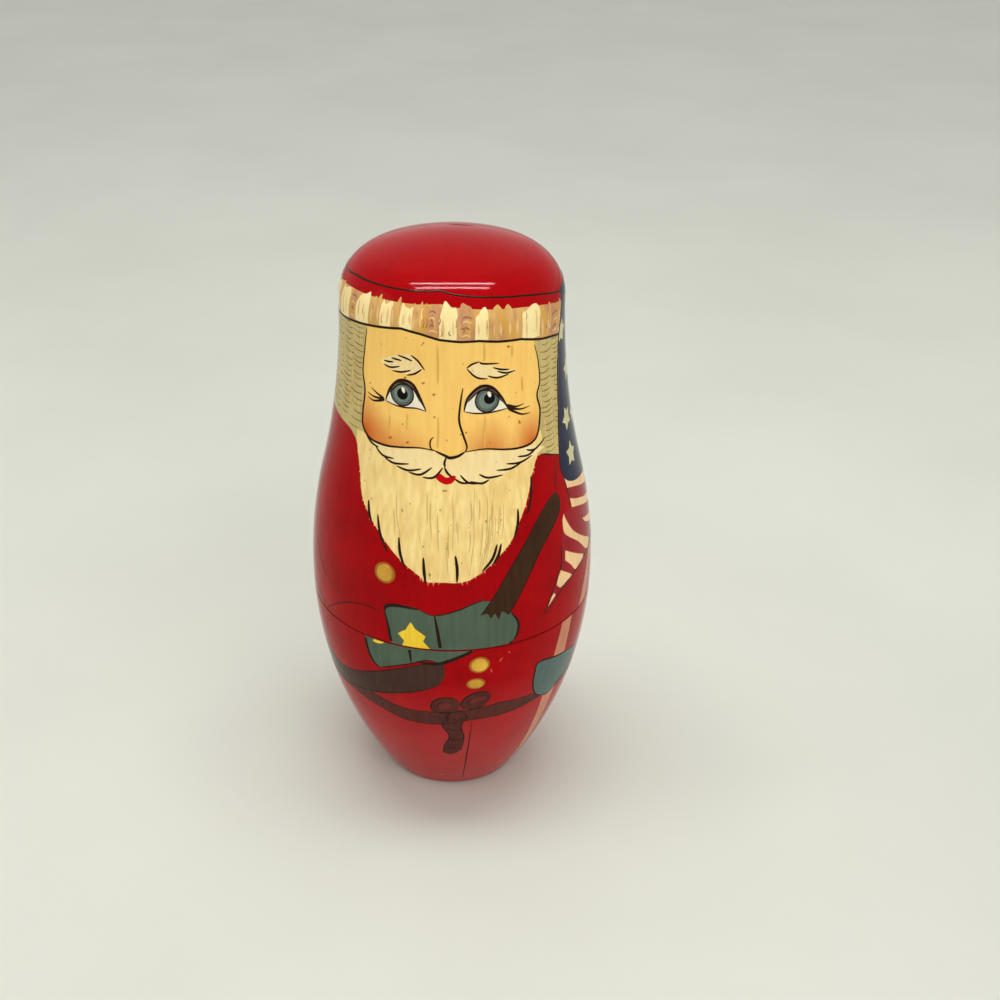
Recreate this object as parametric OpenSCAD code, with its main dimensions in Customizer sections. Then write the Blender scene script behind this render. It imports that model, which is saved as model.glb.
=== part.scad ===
/* [Outer doll] */
// Height of the outer doll
doll_h = 152; // [140:1:165]
// Largest diameter, at the belly
belly_d = 74; // [70:1:80]
// Height of the widest point over the base
belly_z = 62; // [58:1:66]
// Diameter where the belly meets the base
base_d = 36; // [30:1:42]
// Diameter of the head under the crown
head_d = 55.4; // [50:0.2:60]
// Radius of the arc over the belly
shoulder_r = 125; // [110:1:140]
// Radius of the crown's rounded edge
crown_edge_r = 12; // [9:0.5:14]
// Radius of the crown's dome
crown_dome_r = 60; // [52:1:75]
// Height of the seam between the halves
seam_z = 57; // [54:0.5:60]
// Bevel round the base
base_bevel = 0.8; // [0.4:0.1:1.2]

/* [Halves of the outer doll] */
// Height of the lower half's spigot
spigot_h = 8; // [6:0.5:10]
// Wall of the spigot
spigot_wall = 2.2; // [1.8:0.1:2.6]
// Wall of the upper half round the spigot, at the seam
socket_wall = 2.5; // [2.1:0.1:2.9]
// Thickness of the lower half's floor
floor_t = 6; // [5:0.5:8]
// Thickness of the wood over the upper half's hollow
crown_t = 14; // [12:0.5:16]

/* [Nesting] */
// Gap between spigot and socket, all round
fit_gap = 0.12; // [0.08:0.02:0.2]
// Gap over the end of the spigot
end_gap = 0.4; // [0.2:0.1:0.8]
// Play round the next doll
play = 1.5; // [1.2:0.1:1.8]
// Free height over the next doll's head
headroom = 7; // [6:0.5:9]
// Share of the wood's thickness that each smaller doll keeps
thinning = 0.88; // [0.84:0.01:0.92]
// Bevel on the edges of spigots and rims
edge_bevel = 0.25; // [0.15:0.05:0.4]

/* [Hidden] */
$fn = 144;
coat_red = "#a3141c";
// Steps along each arc of an outline
arc_steps = 20;
// Points nearer than this are one point
least_step = 0.01;

// A doll is its belly radius, its height, the share of thickness that its wood keeps,
// and the height at which it stands inside the set.
function belly_r(doll) = doll[0];
function tall(doll) = doll[1];
function thin(doll) = doll[2];
function stand_z(doll) = doll[3];

// The next smaller doll takes up what this one's hollow leaves.
function inside(doll) = [
    hollow_r(doll) - play,
    tall(doll) - (floor_t + crown_t) * thin(doll) - headroom,
    thin(doll) * thinning,
    stand_z(doll) + floor_z(doll)
];

// Every doll keeps the outer doll's proportions.
function slim(doll) = belly_r(doll) / (belly_d / 2);
function short(doll) = tall(doll) / doll_h;
function base_r(doll) = base_d / 2 * slim(doll);
function head_r(doll) = head_d / 2 * slim(doll);
function edge_r(doll) = crown_edge_r * slim(doll);
function dome_r(doll) = crown_dome_r * slim(doll);
function widest_z(doll) = belly_z * short(doll);
function joint_z(doll) = seam_z * short(doll);

// Radius of the arc from the base up to the belly, where it stands upright.
function base_in(doll) = belly_r(doll) - base_r(doll);
function lower_r(doll) = (pow(widest_z(doll), 2) + pow(base_in(doll), 2)) / (2 * base_in(doll));

// The crown's edge starts where the side of the head stands upright, and runs into the dome.
function inset(doll) = head_r(doll) - edge_r(doll);
function dome_z(doll) = tall(doll) - dome_r(doll);
function head_z(doll) = dome_z(doll) + sqrt(pow(dome_r(doll) - edge_r(doll), 2) - pow(inset(doll), 2));
function crown_angle(doll) = atan2(head_z(doll) - dome_z(doll), inset(doll));

// The arc over the belly and the hollow arc of the neck meet in one tangent, in the same shares in every doll.
function rise(doll) = head_z(doll) - widest_z(doll);
function head_in(doll) = belly_r(doll) - head_r(doll);
function both_r(doll) = (pow(rise(doll), 2) + pow(head_in(doll), 2)) / (2 * head_in(doll));
function upper_r(doll) = shoulder_r * both_r(doll) / both_r(outer);
function neck_r(doll) = both_r(doll) - upper_r(doll);
function turn_angle(doll) = asin(rise(doll) / both_r(doll));

// Fits at the seam, from the outside in, and heights inside one doll.
function seam_r(doll) = side_r(doll, joint_z(doll));
function socket_r(doll) = seam_r(doll) - socket_wall * thin(doll);
function spigot_r(doll) = socket_r(doll) - fit_gap;
function hollow_r(doll) = spigot_r(doll) - spigot_wall * thin(doll);
function spigot_top(doll) = joint_z(doll) + spigot_h * thin(doll);
function floor_z(doll) = floor_t * thin(doll);

// Points along an arc, from one angle to another.
function arc(x, z, r, from, to) = [
    for (k = [0 : arc_steps])
        let (a = from + (to - from) * k / arc_steps)
            [x + r * cos(a), z + r * sin(a)]
];

// Radius on an arc that bulges outward, and on one that bulges inward, at a height.
function bulge_r(x, z, r, at_z) = x + sqrt(r * r - pow(at_z - z, 2));
function waist_r(x, z, r, at_z) = x - sqrt(r * r - pow(at_z - z, 2));

// Radius of a doll's side at a height under the head, or of a hollow that is wider by grow.
function side_r(doll, z, grow = 0) =
    z < widest_z(doll)
        ? bulge_r(belly_r(doll) - lower_r(doll), widest_z(doll), lower_r(doll) + grow, z)
        : z < widest_z(doll) + upper_r(doll) * sin(turn_angle(doll))
            ? bulge_r(belly_r(doll) - upper_r(doll) + grow, widest_z(doll), upper_r(doll), z)
            : waist_r(head_r(doll) + neck_r(doll) + grow, head_z(doll), neck_r(doll), z);

// A doll's outline from base to crown. A hollow is wider by grow and its head is longer by stretch.
function outline(doll, grow = 0, stretch = 0) =
    let (base_angle = -asin(widest_z(doll) / (lower_r(doll) + grow))) concat(
        arc(belly_r(doll) - lower_r(doll), widest_z(doll), lower_r(doll) + grow, base_angle, 0),
        arc(belly_r(doll) - upper_r(doll) + grow, widest_z(doll), upper_r(doll), 0, turn_angle(doll)),
        arc(head_r(doll) + neck_r(doll) + grow, head_z(doll), neck_r(doll), 180 + turn_angle(doll), 180),
        arc(inset(doll), head_z(doll) + stretch, edge_r(doll) + grow, 0, crown_angle(doll)),
        arc(0, dome_z(doll) + stretch, dome_r(doll) + grow, crown_angle(doll), 90)
    );

// The points of an outline between two heights, without repeats where two arcs meet.
function between(points, low, high) = [
    for (k = [0 : len(points) - 1])
        let (p = points[k], last = points[max(k - 1, 0)])
            if (p[1] > low && p[1] < high && (k == 0 || norm(p - last) > least_step)) p
];
function lift(points, z) = [for (p = points) p + [0, z]];
function reverse(points) = [for (k = [len(points) - 1 : -1 : 0]) points[k]];

// The flat base with its bevel, which starts the lower halves and the solid doll.
function base_points(doll) = [
    [0, 0],
    [base_r(doll) - base_bevel, 0],
    [side_r(doll, base_bevel), base_bevel]
];

// Lower half: belly, shoulder at the seam, spigot, and a hollow that is straight above its widest point.
function lower_points(doll) =
    let (next = inside(doll), shoulder_z = joint_z(doll) - edge_bevel) concat(
        base_points(doll),
        between(outline(doll), base_bevel, shoulder_z),
        [
            [side_r(doll, shoulder_z), shoulder_z],
            [seam_r(doll) - edge_bevel, joint_z(doll)],
            [spigot_r(doll), joint_z(doll)],
            [spigot_r(doll), spigot_top(doll) - edge_bevel],
            [spigot_r(doll) - edge_bevel, spigot_top(doll)],
            [hollow_r(doll), spigot_top(doll)],
            [hollow_r(doll), floor_z(doll) + widest_z(next)]
        ],
        lift(reverse(between(outline(next, play), 0, widest_z(next))), floor_z(doll)),
        [
            [side_r(next, 0, play), floor_z(doll)],
            [0, floor_z(doll)]
        ]
    );

// Upper half: rim, socket over the spigot, and a hollow that narrows from its ledge up to the crown.
function upper_points(doll) =
    let (
        next = inside(doll),
        rim_z = joint_z(doll) + edge_bevel,
        ledge_z = spigot_top(doll) + end_gap,
        narrow_z = max(ledge_z - floor_z(doll), widest_z(next)),
        ceiling_z = tall(next) + headroom
    ) concat(
        [
            [socket_r(doll) + edge_bevel, joint_z(doll)],
            [seam_r(doll) - edge_bevel, joint_z(doll)],
            [side_r(doll, rim_z), rim_z]
        ],
        between(outline(doll), rim_z, tall(doll)),
        [
            [0, tall(doll)],
            [0, floor_z(doll) + ceiling_z]
        ],
        lift(reverse(between(outline(next, play, headroom - play), narrow_z, ceiling_z)), floor_z(doll)),
        [
            [side_r(next, narrow_z, play), ledge_z],
            [socket_r(doll), ledge_z],
            [socket_r(doll), rim_z]
        ]
    );

function solid_points(doll) = concat(
    base_points(doll),
    between(outline(doll), base_bevel, tall(doll)),
    [[0, tall(doll)]]
);

// The five dolls of the set.
outer = [belly_d / 2, doll_h, 1, 0];
second = inside(outer);
third = inside(second);
fourth = inside(third);
smallest = inside(fourth);

module turned(doll, points) {
    color(coat_red) translate([0, 0, stand_z(doll)]) rotate_extrude() polygon(points);
}

module outer_lower_half() turned(outer, lower_points(outer));
module outer_upper_half() turned(outer, upper_points(outer));
module second_lower_half() turned(second, lower_points(second));
module second_upper_half() turned(second, upper_points(second));
module third_lower_half() turned(third, lower_points(third));
module third_upper_half() turned(third, upper_points(third));
module fourth_lower_half() turned(fourth, lower_points(fourth));
module fourth_upper_half() turned(fourth, upper_points(fourth));
module smallest_doll() turned(smallest, solid_points(smallest));

outer_lower_half();
outer_upper_half();
second_lower_half();
second_upper_half();
third_lower_half();
third_upper_half();
fourth_lower_half();
fourth_upper_half();
smallest_doll();
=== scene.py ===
"""Looks of five nesting dolls, turned from wood, painted by hand and lacquered.

The painting is laid out once, for the outer doll, as angles round the axis and heights over the base.
Every doll of the set wears the same painting, drawn to its own size.
"""

import logging
import math
import random
from bisect import bisect_left, bisect_right
from collections.abc import Iterable, Sequence
from dataclasses import dataclass, field, replace
from enum import Enum

import bmesh
import bpy
from mathutils import Euler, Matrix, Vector
from mathutils.geometry import delaunay_2d_cdt


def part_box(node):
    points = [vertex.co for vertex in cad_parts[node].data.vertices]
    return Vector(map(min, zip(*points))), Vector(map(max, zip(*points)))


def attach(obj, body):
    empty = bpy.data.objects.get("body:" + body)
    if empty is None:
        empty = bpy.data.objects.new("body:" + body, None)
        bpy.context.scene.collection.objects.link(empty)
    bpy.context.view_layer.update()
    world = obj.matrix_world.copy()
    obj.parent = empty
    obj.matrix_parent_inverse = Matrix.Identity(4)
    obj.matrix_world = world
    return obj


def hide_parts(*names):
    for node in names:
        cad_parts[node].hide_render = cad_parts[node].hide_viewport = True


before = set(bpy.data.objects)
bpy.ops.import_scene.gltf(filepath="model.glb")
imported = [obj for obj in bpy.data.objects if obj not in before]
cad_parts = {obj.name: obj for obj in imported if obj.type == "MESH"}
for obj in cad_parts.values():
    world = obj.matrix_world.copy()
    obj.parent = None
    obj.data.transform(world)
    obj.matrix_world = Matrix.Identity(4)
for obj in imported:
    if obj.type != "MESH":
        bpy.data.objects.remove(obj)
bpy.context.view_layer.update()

log = logging.getLogger("nesting_dolls")

MM = 0.001
CHART_MAP = "chart"
FIGURE_H = 152.0
BAND_STEP = 3.0
BAND_STEPS = 68

Point = tuple[float, float]
Line = tuple[Point, ...]
Colour = tuple[int, int, int]
Socket = bpy.types.NodeSocket


class Paint(Enum):
    """Every colour on the dolls, and their bare wood."""

    COAT = "coat_red"
    CAP = "cap_red"
    FUR = "fur_tan"
    FUR_PALE = "fur_pale"
    FUR_PEACH = "fur_peach"
    FUR_BROWN = "fur_brown"
    FUR_LINE = "fur_line"
    SKIN = "skin"
    SKIN_LINE = "skin_line"
    LID = "eye_lid"
    HAIR = "hair"
    HAIR_LINE = "hair_line"
    BEARD = "beard"
    BEARD_LINE = "beard_line"
    BEARD_EDGE = "beard_edge"
    MOUSTACHE = "moustache"
    EYE_WHITE = "eye_white"
    IRIS = "iris"
    IRIS_PALE = "iris_pale"
    PUPIL = "pupil"
    LIP = "lip"
    PARCEL = "parcel_green"
    MITTEN = "mitten_green"
    STAR = "star_yellow"
    STRAP = "strap_brown"
    CUFF = "cuff_brown"
    BELT = "belt_brown"
    BOW_LIGHT = "bow_light"
    POLE = "pole_peach"
    CLOTH_RED = "cloth_red"
    CLOTH_BLUE = "cloth_blue"
    CLOTH_CREAM = "cloth_cream"
    CLOTH_STAR = "cloth_star"
    GOLD = "gold"
    GOLD_RIM = "gold_rim"
    INK = "ink"
    # dark red: painted shade on the bevels at the seam and at the base edge, and the small mark on the crown
    SEAM = "seam_shade_and_mark"
    WOOD = "bare_wood"


class Taper(Enum):
    """How the width of a brush stroke runs along it."""

    EVEN = "even"
    TIP = "tip"
    ENDS = "ends"

    def share(self, t: float) -> float:
        """Share of the full width at one place.

        Args:
            t: place along the stroke, from 0 at the start to 1 at the end.

        Returns:
            The share.
        """
        if self is Taper.TIP:
            return max(1.0 - t, 0.0) ** 0.6 * min(1.0, 0.55 + 3.0 * t)
        if self is Taper.ENDS:
            return 0.25 + 0.75 * math.sin(math.pi * t) ** 0.6
        return 1.0


def linear(colour: Colour) -> tuple[float, float, float, float]:
    """A screen colour as a shader socket takes it.

    Args:
        colour: red, green and blue up to 255.

    Returns:
        The linear colour.
    """
    shares = [value / 255 for value in colour]
    low = [s / 12.92 if s <= 0.04045 else ((s + 0.055) / 1.055) ** 2.4 for s in shares]
    return (*low, 1.0)


class Desk:
    """Adds and links the nodes of one tree."""

    def __init__(self, tree: bpy.types.NodeTree) -> None:
        """Takes the tree to work on."""
        self.tree = tree

    @classmethod
    def for_material(cls, name: str) -> tuple["Desk", bpy.types.Material]:
        """Starts an empty material.

        Args:
            name: name of the material.

        Returns:
            The desk of its node tree, and the material.
        """
        material = bpy.data.materials.new(name)
        material.use_nodes = True
        material.node_tree.nodes.clear()
        return cls(material.node_tree), material

    def add(
        self,
        kind: str,
        inputs: dict[str | int, object] | None = None,
        **settings: object,
    ) -> bpy.types.Node:
        """Adds one node.

        Args:
            kind: Blender's name for the node.
            inputs: a value, or another node's socket, for each input.
            settings: the node's own properties.

        Returns:
            The new node.
        """
        node = self.tree.nodes.new(kind)
        for name, value in settings.items():
            setattr(node, name, value)
        for key, value in (inputs or {}).items():
            if isinstance(value, bpy.types.NodeSocket):
                self.tree.links.new(value, node.inputs[key])
            else:
                node.inputs[key].default_value = value
        return node

    def surface(self, looks: dict[str, object]) -> None:
        """Ends a material with one shader."""
        shader = self.add("ShaderNodeBsdfPrincipled", looks).outputs["BSDF"]
        self.add("ShaderNodeOutputMaterial", {"Surface": shader})

    def noise(self, at: Socket, scale: float, detail: float = 3.0) -> Socket:
        """Noise over a place, from 0 to 1."""
        return self.add("ShaderNodeTexNoise", {"Vector": at, "Scale": scale, "Detail": detail}).outputs[0]

    def ramp(self, value: Socket, low: float, high: float, start: float = 0.0, end: float = 1.0) -> Socket:
        """A value from low to high, spread from start to end and clamped."""
        ends = {"Value": value, "From Min": low, "From Max": high, "To Min": start, "To Max": end}
        return self.add("ShaderNodeMapRange", ends).outputs["Result"]

    def math(self, operation: str, a: Socket | float, b: Socket | float) -> Socket:
        """The result of one sum of two values."""
        return self.add("ShaderNodeMath", {0: a, 1: b}, operation=operation).outputs["Value"]

    def mix(self, share: Socket | float, a: Socket | tuple, b: Socket | tuple) -> Socket:
        """A blend of two colours."""
        return self.add("ShaderNodeMix", {0: share, 6: a, 7: b}, data_type="RGBA").outputs[2]


@dataclass(frozen=True)
class LacqueredPaint:
    """One brushed colour on wood, under clear lacquer."""

    colour: Colour
    shade: Colour
    streaks: float = 0.5
    clouds: float = 0.3
    specks: float = 0.0
    roughness: float = 0.38
    lacquer: float = 1.0
    metal: float = 0.0
    # share of the painted sheen near the base, standing for the pale tabletop reflected in the lacquer
    base_sheen: float = 0.0

    brush: tuple[float, float, float] = (850.0, 850.0, 55.0)
    speck_colour: Colour = (104, 70, 32)
    # colour of the painted sheen near the base, and the height where it fades out
    base_sheen_colour: Colour = (190, 106, 104)
    base_sheen_top: float = 46.0

    def tint(self, desk: Desk, at: Socket) -> tuple[Socket, Socket]:
        """Colour with brush streaks along the grain, cloudy places, small specks and a painted sheen near the
        base.

        Args:
            desk: desk of the material.
            at: place on the piece.

        Returns:
            The colour, and the streaks that also give the relief.
        """
        along = desk.add("ShaderNodeMapping", {"Vector": at, "Scale": self.brush}).outputs["Vector"]
        streak = desk.ramp(desk.noise(along, 1.0, 5.0), 0.36, 0.68)
        cloud = desk.ramp(desk.noise(at, 110.0), 0.35, 0.68)
        streaky = desk.math("MULTIPLY", streak, self.streaks)
        share = desk.math("ADD", streaky, desk.math("MULTIPLY", cloud, self.clouds))
        tone = desk.mix(share, linear(self.colour), linear(self.shade))
        if self.specks:
            speck = desk.ramp(desk.noise(at, 640.0, 1.0), 0.72, 0.77, 0.0, self.specks)
            tone = desk.mix(speck, tone, linear(self.speck_colour))
        # painted sheen: paler pink towards the base, in patches, standing for the pale tabletop reflected in
        # the lacquer
        if self.base_sheen:
            chart = desk.add("ShaderNodeUVMap", uv_map=CHART_MAP).outputs["UV"]
            height = desk.add("ShaderNodeSeparateXYZ", {"Vector": chart}).outputs["Y"]
            sheen_share = desk.ramp(height, 0.0, self.base_sheen_top / FIGURE_H, self.base_sheen, 0.0)
            patchy = desk.ramp(desk.noise(at, 70.0), 0.3, 0.7, 0.65, 1.0)
            tone = desk.mix(desk.math("MULTIPLY", sheen_share, patchy), tone, linear(self.base_sheen_colour))
        return tone, streak

    def material(self, name: str) -> bpy.types.Material:
        """Makes the material.

        Args:
            name: name of the material.

        Returns:
            The material, with a smooth clear coat over brushed paint.
        """
        desk, material = Desk.for_material(name)
        at = desk.add("ShaderNodeTexCoord").outputs["Object"]
        tone, streak = self.tint(desk, at)
        rough = desk.ramp(desk.noise(at, 300.0), 0.3, 0.7, self.roughness - 0.06, self.roughness + 0.08)
        bump = desk.add("ShaderNodeBump", {"Height": streak, "Strength": 0.22, "Distance": 0.00012})
        looks = {
            "Base Color": tone,
            "Roughness": rough,
            "Normal": bump.outputs["Normal"],
            "Metallic": self.metal,
            "Specular IOR Level": 0.0,
            "Coat Weight": self.lacquer,
            "Coat Roughness": 0.07,
            "Coat IOR": 1.14,
        }
        desk.surface(looks)
        return material


@dataclass(frozen=True)
class Blush:
    """A soft warm place on the skin: its middle, how far it reaches round and up, and its strength."""

    middle: Point
    reach: Point
    strength: float


@dataclass(frozen=True)
class BlushedSkin(LacqueredPaint):
    """Skin paint with a warm blush along the lower edge of both cheeks, placed on the doll's own chart."""

    blush: Colour = (202, 82, 20)
    cheeks: tuple[Blush, ...] = (
        Blush((-46.0, 109.0), (18.0, 11.0), 1.0),
        Blush((-28.0, 105.0), (24.0, 11.0), 0.75),
        Blush((17.0, 105.0), (15.0, 12.0), 0.9),
        Blush((40.0, 106.0), (14.0, 11.0), 1.0),
    )

    def tint(self, desk: Desk, at: Socket) -> tuple[Socket, Socket]:
        """Skin colour with its blush.

        Args:
            desk: desk of the material.
            at: place on the piece.

        Returns:
            The colour, and the streaks that also give the relief.
        """
        tone, streak = super().tint(desk, at)
        chart = desk.add("ShaderNodeUVMap", uv_map=CHART_MAP).outputs["UV"]
        for cheek in self.cheeks:
            scale = (360.0 / cheek.reach[0], FIGURE_H / cheek.reach[1], 0.0)
            angle, height = cheek.middle
            shift = (-(angle / 360.0 + 0.5) * scale[0], -height / FIGURE_H * scale[1], 0.0)
            near = desk.add("ShaderNodeMapping", {"Vector": chart, "Location": shift, "Scale": scale})
            away = desk.add("ShaderNodeVectorMath", {0: near.outputs["Vector"]}, operation="LENGTH")
            share = desk.ramp(away.outputs["Value"], 0.12, 1.0, cheek.strength, 0.0)
            tone = desk.mix(share, tone, linear(self.blush))
        return tone, streak


@dataclass(frozen=True)
class BrushedFur(LacqueredPaint):
    """Fur paint with soft places of ochre and of pinkish brown, brushed up and down."""

    ochre: Colour = (214, 160, 74)
    brown: Colour = (196, 138, 102)
    sweep: tuple[float, float, float] = (330.0, 330.0, 90.0)

    def tint(self, desk: Desk, at: Socket) -> tuple[Socket, Socket]:
        """Fur colour with its soft places.

        Args:
            desk: desk of the material.
            at: place on the piece.

        Returns:
            The colour, and the streaks that also give the relief.
        """
        tone, streak = super().tint(desk, at)
        swept = desk.add("ShaderNodeMapping", {"Vector": at, "Scale": self.sweep}).outputs["Vector"]
        warm = desk.ramp(desk.noise(swept, 1.0), 0.5, 0.66, 0.0, 0.85)
        tone = desk.mix(warm, tone, linear(self.ochre))
        dark = desk.ramp(desk.noise(swept, 1.7), 0.52, 0.68, 0.0, 0.9)
        return desk.mix(dark, tone, linear(self.brown)), streak


@dataclass(frozen=True)
class TurnedWood:
    """Bare linden wood with the fine rings of the lathe."""

    colour: Colour = (226, 190, 138)
    grain: Colour = (190, 144, 92)
    ring: float = 1800.0
    fibres: tuple[float, float, float] = (420.0, 420.0, 22.0)

    def material(self, name: str) -> bpy.types.Material:
        """Makes the material.

        Args:
            name: name of the material.

        Returns:
            The material, whose rings follow the radius and the height.
        """
        desk, material = Desk.for_material(name)
        at = desk.add("ShaderNodeTexCoord").outputs["Object"]
        parts = desk.add("ShaderNodeSeparateXYZ", {"Vector": at}).outputs
        flat = desk.add("ShaderNodeCombineXYZ", {"X": parts["X"], "Y": parts["Y"]}).outputs["Vector"]
        radius = desk.add("ShaderNodeVectorMath", {0: flat}, operation="LENGTH").outputs["Value"]
        turned = desk.add("ShaderNodeCombineXYZ", {"X": radius, "Y": parts["Z"]}).outputs["Vector"]
        rings = desk.noise(turned, self.ring, 2.0)
        along = desk.add("ShaderNodeMapping", {"Vector": at, "Scale": self.fibres}).outputs["Vector"]
        fibre = desk.ramp(desk.noise(along, 1.0, 6.0), 0.35, 0.7)
        tone = desk.mix(desk.math("MULTIPLY", fibre, 0.7), linear(self.colour), linear(self.grain))
        tone = desk.mix(desk.ramp(rings, 0.5, 0.75, 0.0, 0.35), tone, linear(self.grain))
        bump = desk.add("ShaderNodeBump", {"Height": rings, "Strength": 0.35, "Distance": 0.0002})
        rough = desk.ramp(fibre, 0.0, 1.0, 0.55, 0.7)
        looks = {
            "Base Color": tone,
            "Roughness": rough,
            "Normal": bump.outputs["Normal"],
            "Specular IOR Level": 0.3,
        }
        desk.surface(looks)
        return material


FINISHES: dict[Paint, LacqueredPaint | TurnedWood] = {
    # the coat is painted paler towards the base, as a painted reflection of the pale tabletop
    Paint.COAT: LacqueredPaint((168, 2, 8), (138, 1, 6), streaks=0.3, clouds=0.5, base_sheen=0.46),
    Paint.CAP: LacqueredPaint((170, 2, 8), (146, 1, 6), streaks=0.35),
    Paint.FUR: BrushedFur((222, 178, 108), (200, 150, 86), specks=0.6),
    Paint.FUR_PALE: LacqueredPaint((252, 232, 170), (242, 212, 146), specks=0.3),
    Paint.FUR_PEACH: LacqueredPaint((236, 198, 134), (222, 174, 112)),
    Paint.FUR_BROWN: BrushedFur((208, 156, 112), (182, 126, 86)),
    Paint.FUR_LINE: LacqueredPaint((170, 114, 74), (138, 88, 54)),
    Paint.SKIN: BlushedSkin((254, 208, 116), (244, 192, 98), specks=0.8),
    Paint.SKIN_LINE: LacqueredPaint((234, 184, 96), (216, 164, 80)),
    Paint.LID: LacqueredPaint((124, 106, 88), (92, 78, 64)),
    Paint.HAIR: LacqueredPaint((208, 188, 124), (184, 160, 100), specks=0.3),
    Paint.HAIR_LINE: LacqueredPaint((138, 118, 70), (112, 94, 54)),
    Paint.BEARD: LacqueredPaint((251, 223, 150), (230, 194, 118), streaks=0.75, specks=0.7),
    Paint.BEARD_LINE: LacqueredPaint((214, 182, 112), (188, 154, 92)),
    Paint.BEARD_EDGE: LacqueredPaint((226, 124, 98), (204, 92, 76)),
    Paint.MOUSTACHE: LacqueredPaint((250, 227, 168), (238, 205, 140), specks=0.3),
    Paint.EYE_WHITE: LacqueredPaint((246, 236, 212), (230, 218, 192)),
    Paint.IRIS: LacqueredPaint((94, 108, 102), (72, 86, 82)),
    Paint.IRIS_PALE: LacqueredPaint((122, 136, 124), (101, 115, 105)),
    Paint.PUPIL: LacqueredPaint((20, 18, 18), (10, 9, 9)),
    Paint.LIP: LacqueredPaint((206, 8, 20), (180, 5, 14)),
    Paint.PARCEL: LacqueredPaint((86, 102, 85), (70, 85, 70)),
    Paint.MITTEN: LacqueredPaint((90, 110, 104), (74, 92, 88)),
    Paint.STAR: LacqueredPaint((250, 216, 66), (230, 180, 36)),
    Paint.STRAP: LacqueredPaint((66, 42, 26), (49, 31, 19)),
    Paint.CUFF: LacqueredPaint((74, 50, 42), (54, 37, 31)),
    Paint.BELT: LacqueredPaint((90, 44, 38), (66, 31, 27)),
    Paint.BOW_LIGHT: LacqueredPaint((116, 46, 42), (92, 36, 34)),
    Paint.POLE: LacqueredPaint((206, 136, 104), (182, 110, 84)),
    Paint.CLOTH_RED: LacqueredPaint((160, 30, 38), (138, 20, 30)),
    Paint.CLOTH_BLUE: LacqueredPaint((42, 45, 68), (31, 34, 54)),
    Paint.CLOTH_CREAM: LacqueredPaint((244, 208, 154), (228, 180, 130)),
    Paint.CLOTH_STAR: LacqueredPaint((212, 206, 158), (190, 182, 132)),
    Paint.GOLD: LacqueredPaint((242, 196, 78), (170, 114, 38), streaks=0.25, clouds=0.8, metal=0.15),
    Paint.GOLD_RIM: LacqueredPaint((176, 116, 44), (142, 84, 32)),
    Paint.INK: LacqueredPaint((48, 29, 20), (32, 19, 13)),
    # darker red as painted shade on the seam and base bevels; the crown's small mark uses it too
    Paint.SEAM: LacqueredPaint((126, 6, 10), (100, 4, 8)),
    Paint.WOOD: TurnedWood(),
}


class PaintBox(dict[Paint, bpy.types.Material]):
    """Makes each material once, when a piece first needs it."""

    def __missing__(self, paint: Paint) -> bpy.types.Material:
        """Makes and keeps the material of one paint."""
        return self.setdefault(paint, FINISHES[paint].material(paint.value))


def placed(name: str, data: bpy.types.ID) -> bpy.types.Object:
    """Puts a mesh, lamp or camera into the scene.

    Args:
        name: name of the object.
        data: what it holds.

    Returns:
        The object.
    """
    thing = bpy.data.objects.new(name, data)
    bpy.context.scene.collection.objects.link(thing)
    return thing


def smooth(points: Sequence[Point], closed: bool = False, steps: int = 5) -> list[Point]:
    """A smooth curve through points.

    Args:
        points: the points that it goes through.
        closed: whether it returns to its start.
        steps: stretches between two points.

    Returns:
        Points along the curve.
    """
    count = len(points)
    curve = []
    for k in range(count if closed else count - 1):
        last = k + 2 if closed else min(k + 2, count - 1)
        knots = [points[k - 1] if closed else points[max(k - 1, 0)]]
        knots += [points[k], points[(k + 1) % count], points[last % count]]
        for j in range(steps):
            t = j / steps
            weights = (
                -0.5 * t + t * t - 0.5 * t**3,
                1 - 2.5 * t * t + 1.5 * t**3,
                0.5 * t + 2 * t * t - 1.5 * t**3,
                -0.5 * t * t + 0.5 * t**3,
            )
            curve.append(tuple(sum(w * knot[axis] for w, knot in zip(weights, knots)) for axis in (0, 1)))
    return curve if closed else [*curve, tuple(points[-1])]


def height_on(line: Line, angle: float) -> float:
    """Height of a line that runs once round the doll.

    Args:
        line: angle and height of its points, from -180 to 180 degrees.
        angle: where it is read.

    Returns:
        The height there.
    """
    angle = (angle + 180.0) % 360.0 - 180.0
    k = min(max(bisect_right(line, (angle, math.inf)), 1), len(line) - 1)
    (a0, h0), (a1, h1) = line[k - 1], line[k]
    return h0 + (h1 - h0) * (angle - a0) / (a1 - a0)


def short_steps(points: Sequence[Point], reach: float) -> list[Point]:
    """A line with points added, so that it can follow the round of a piece.

    Args:
        points: the line.
        reach: longest step.

    Returns:
        The line with no step longer than that.
    """
    fine = []
    for a, b in zip(points, points[1:]):
        parts = max(1, math.ceil(math.dist(a, b) / reach))
        for j in range(parts):
            fine.append((a[0] + (b[0] - a[0]) * j / parts, a[1] + (b[1] - a[1]) * j / parts))
    return [*fine, points[-1]]


def around(angle: float, out: float, up: float) -> Vector:
    """A place or direction from its parts outward and upward, at an angle in radians round the axis."""
    return Vector((out * math.sin(angle), -out * math.cos(angle), up))


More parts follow.
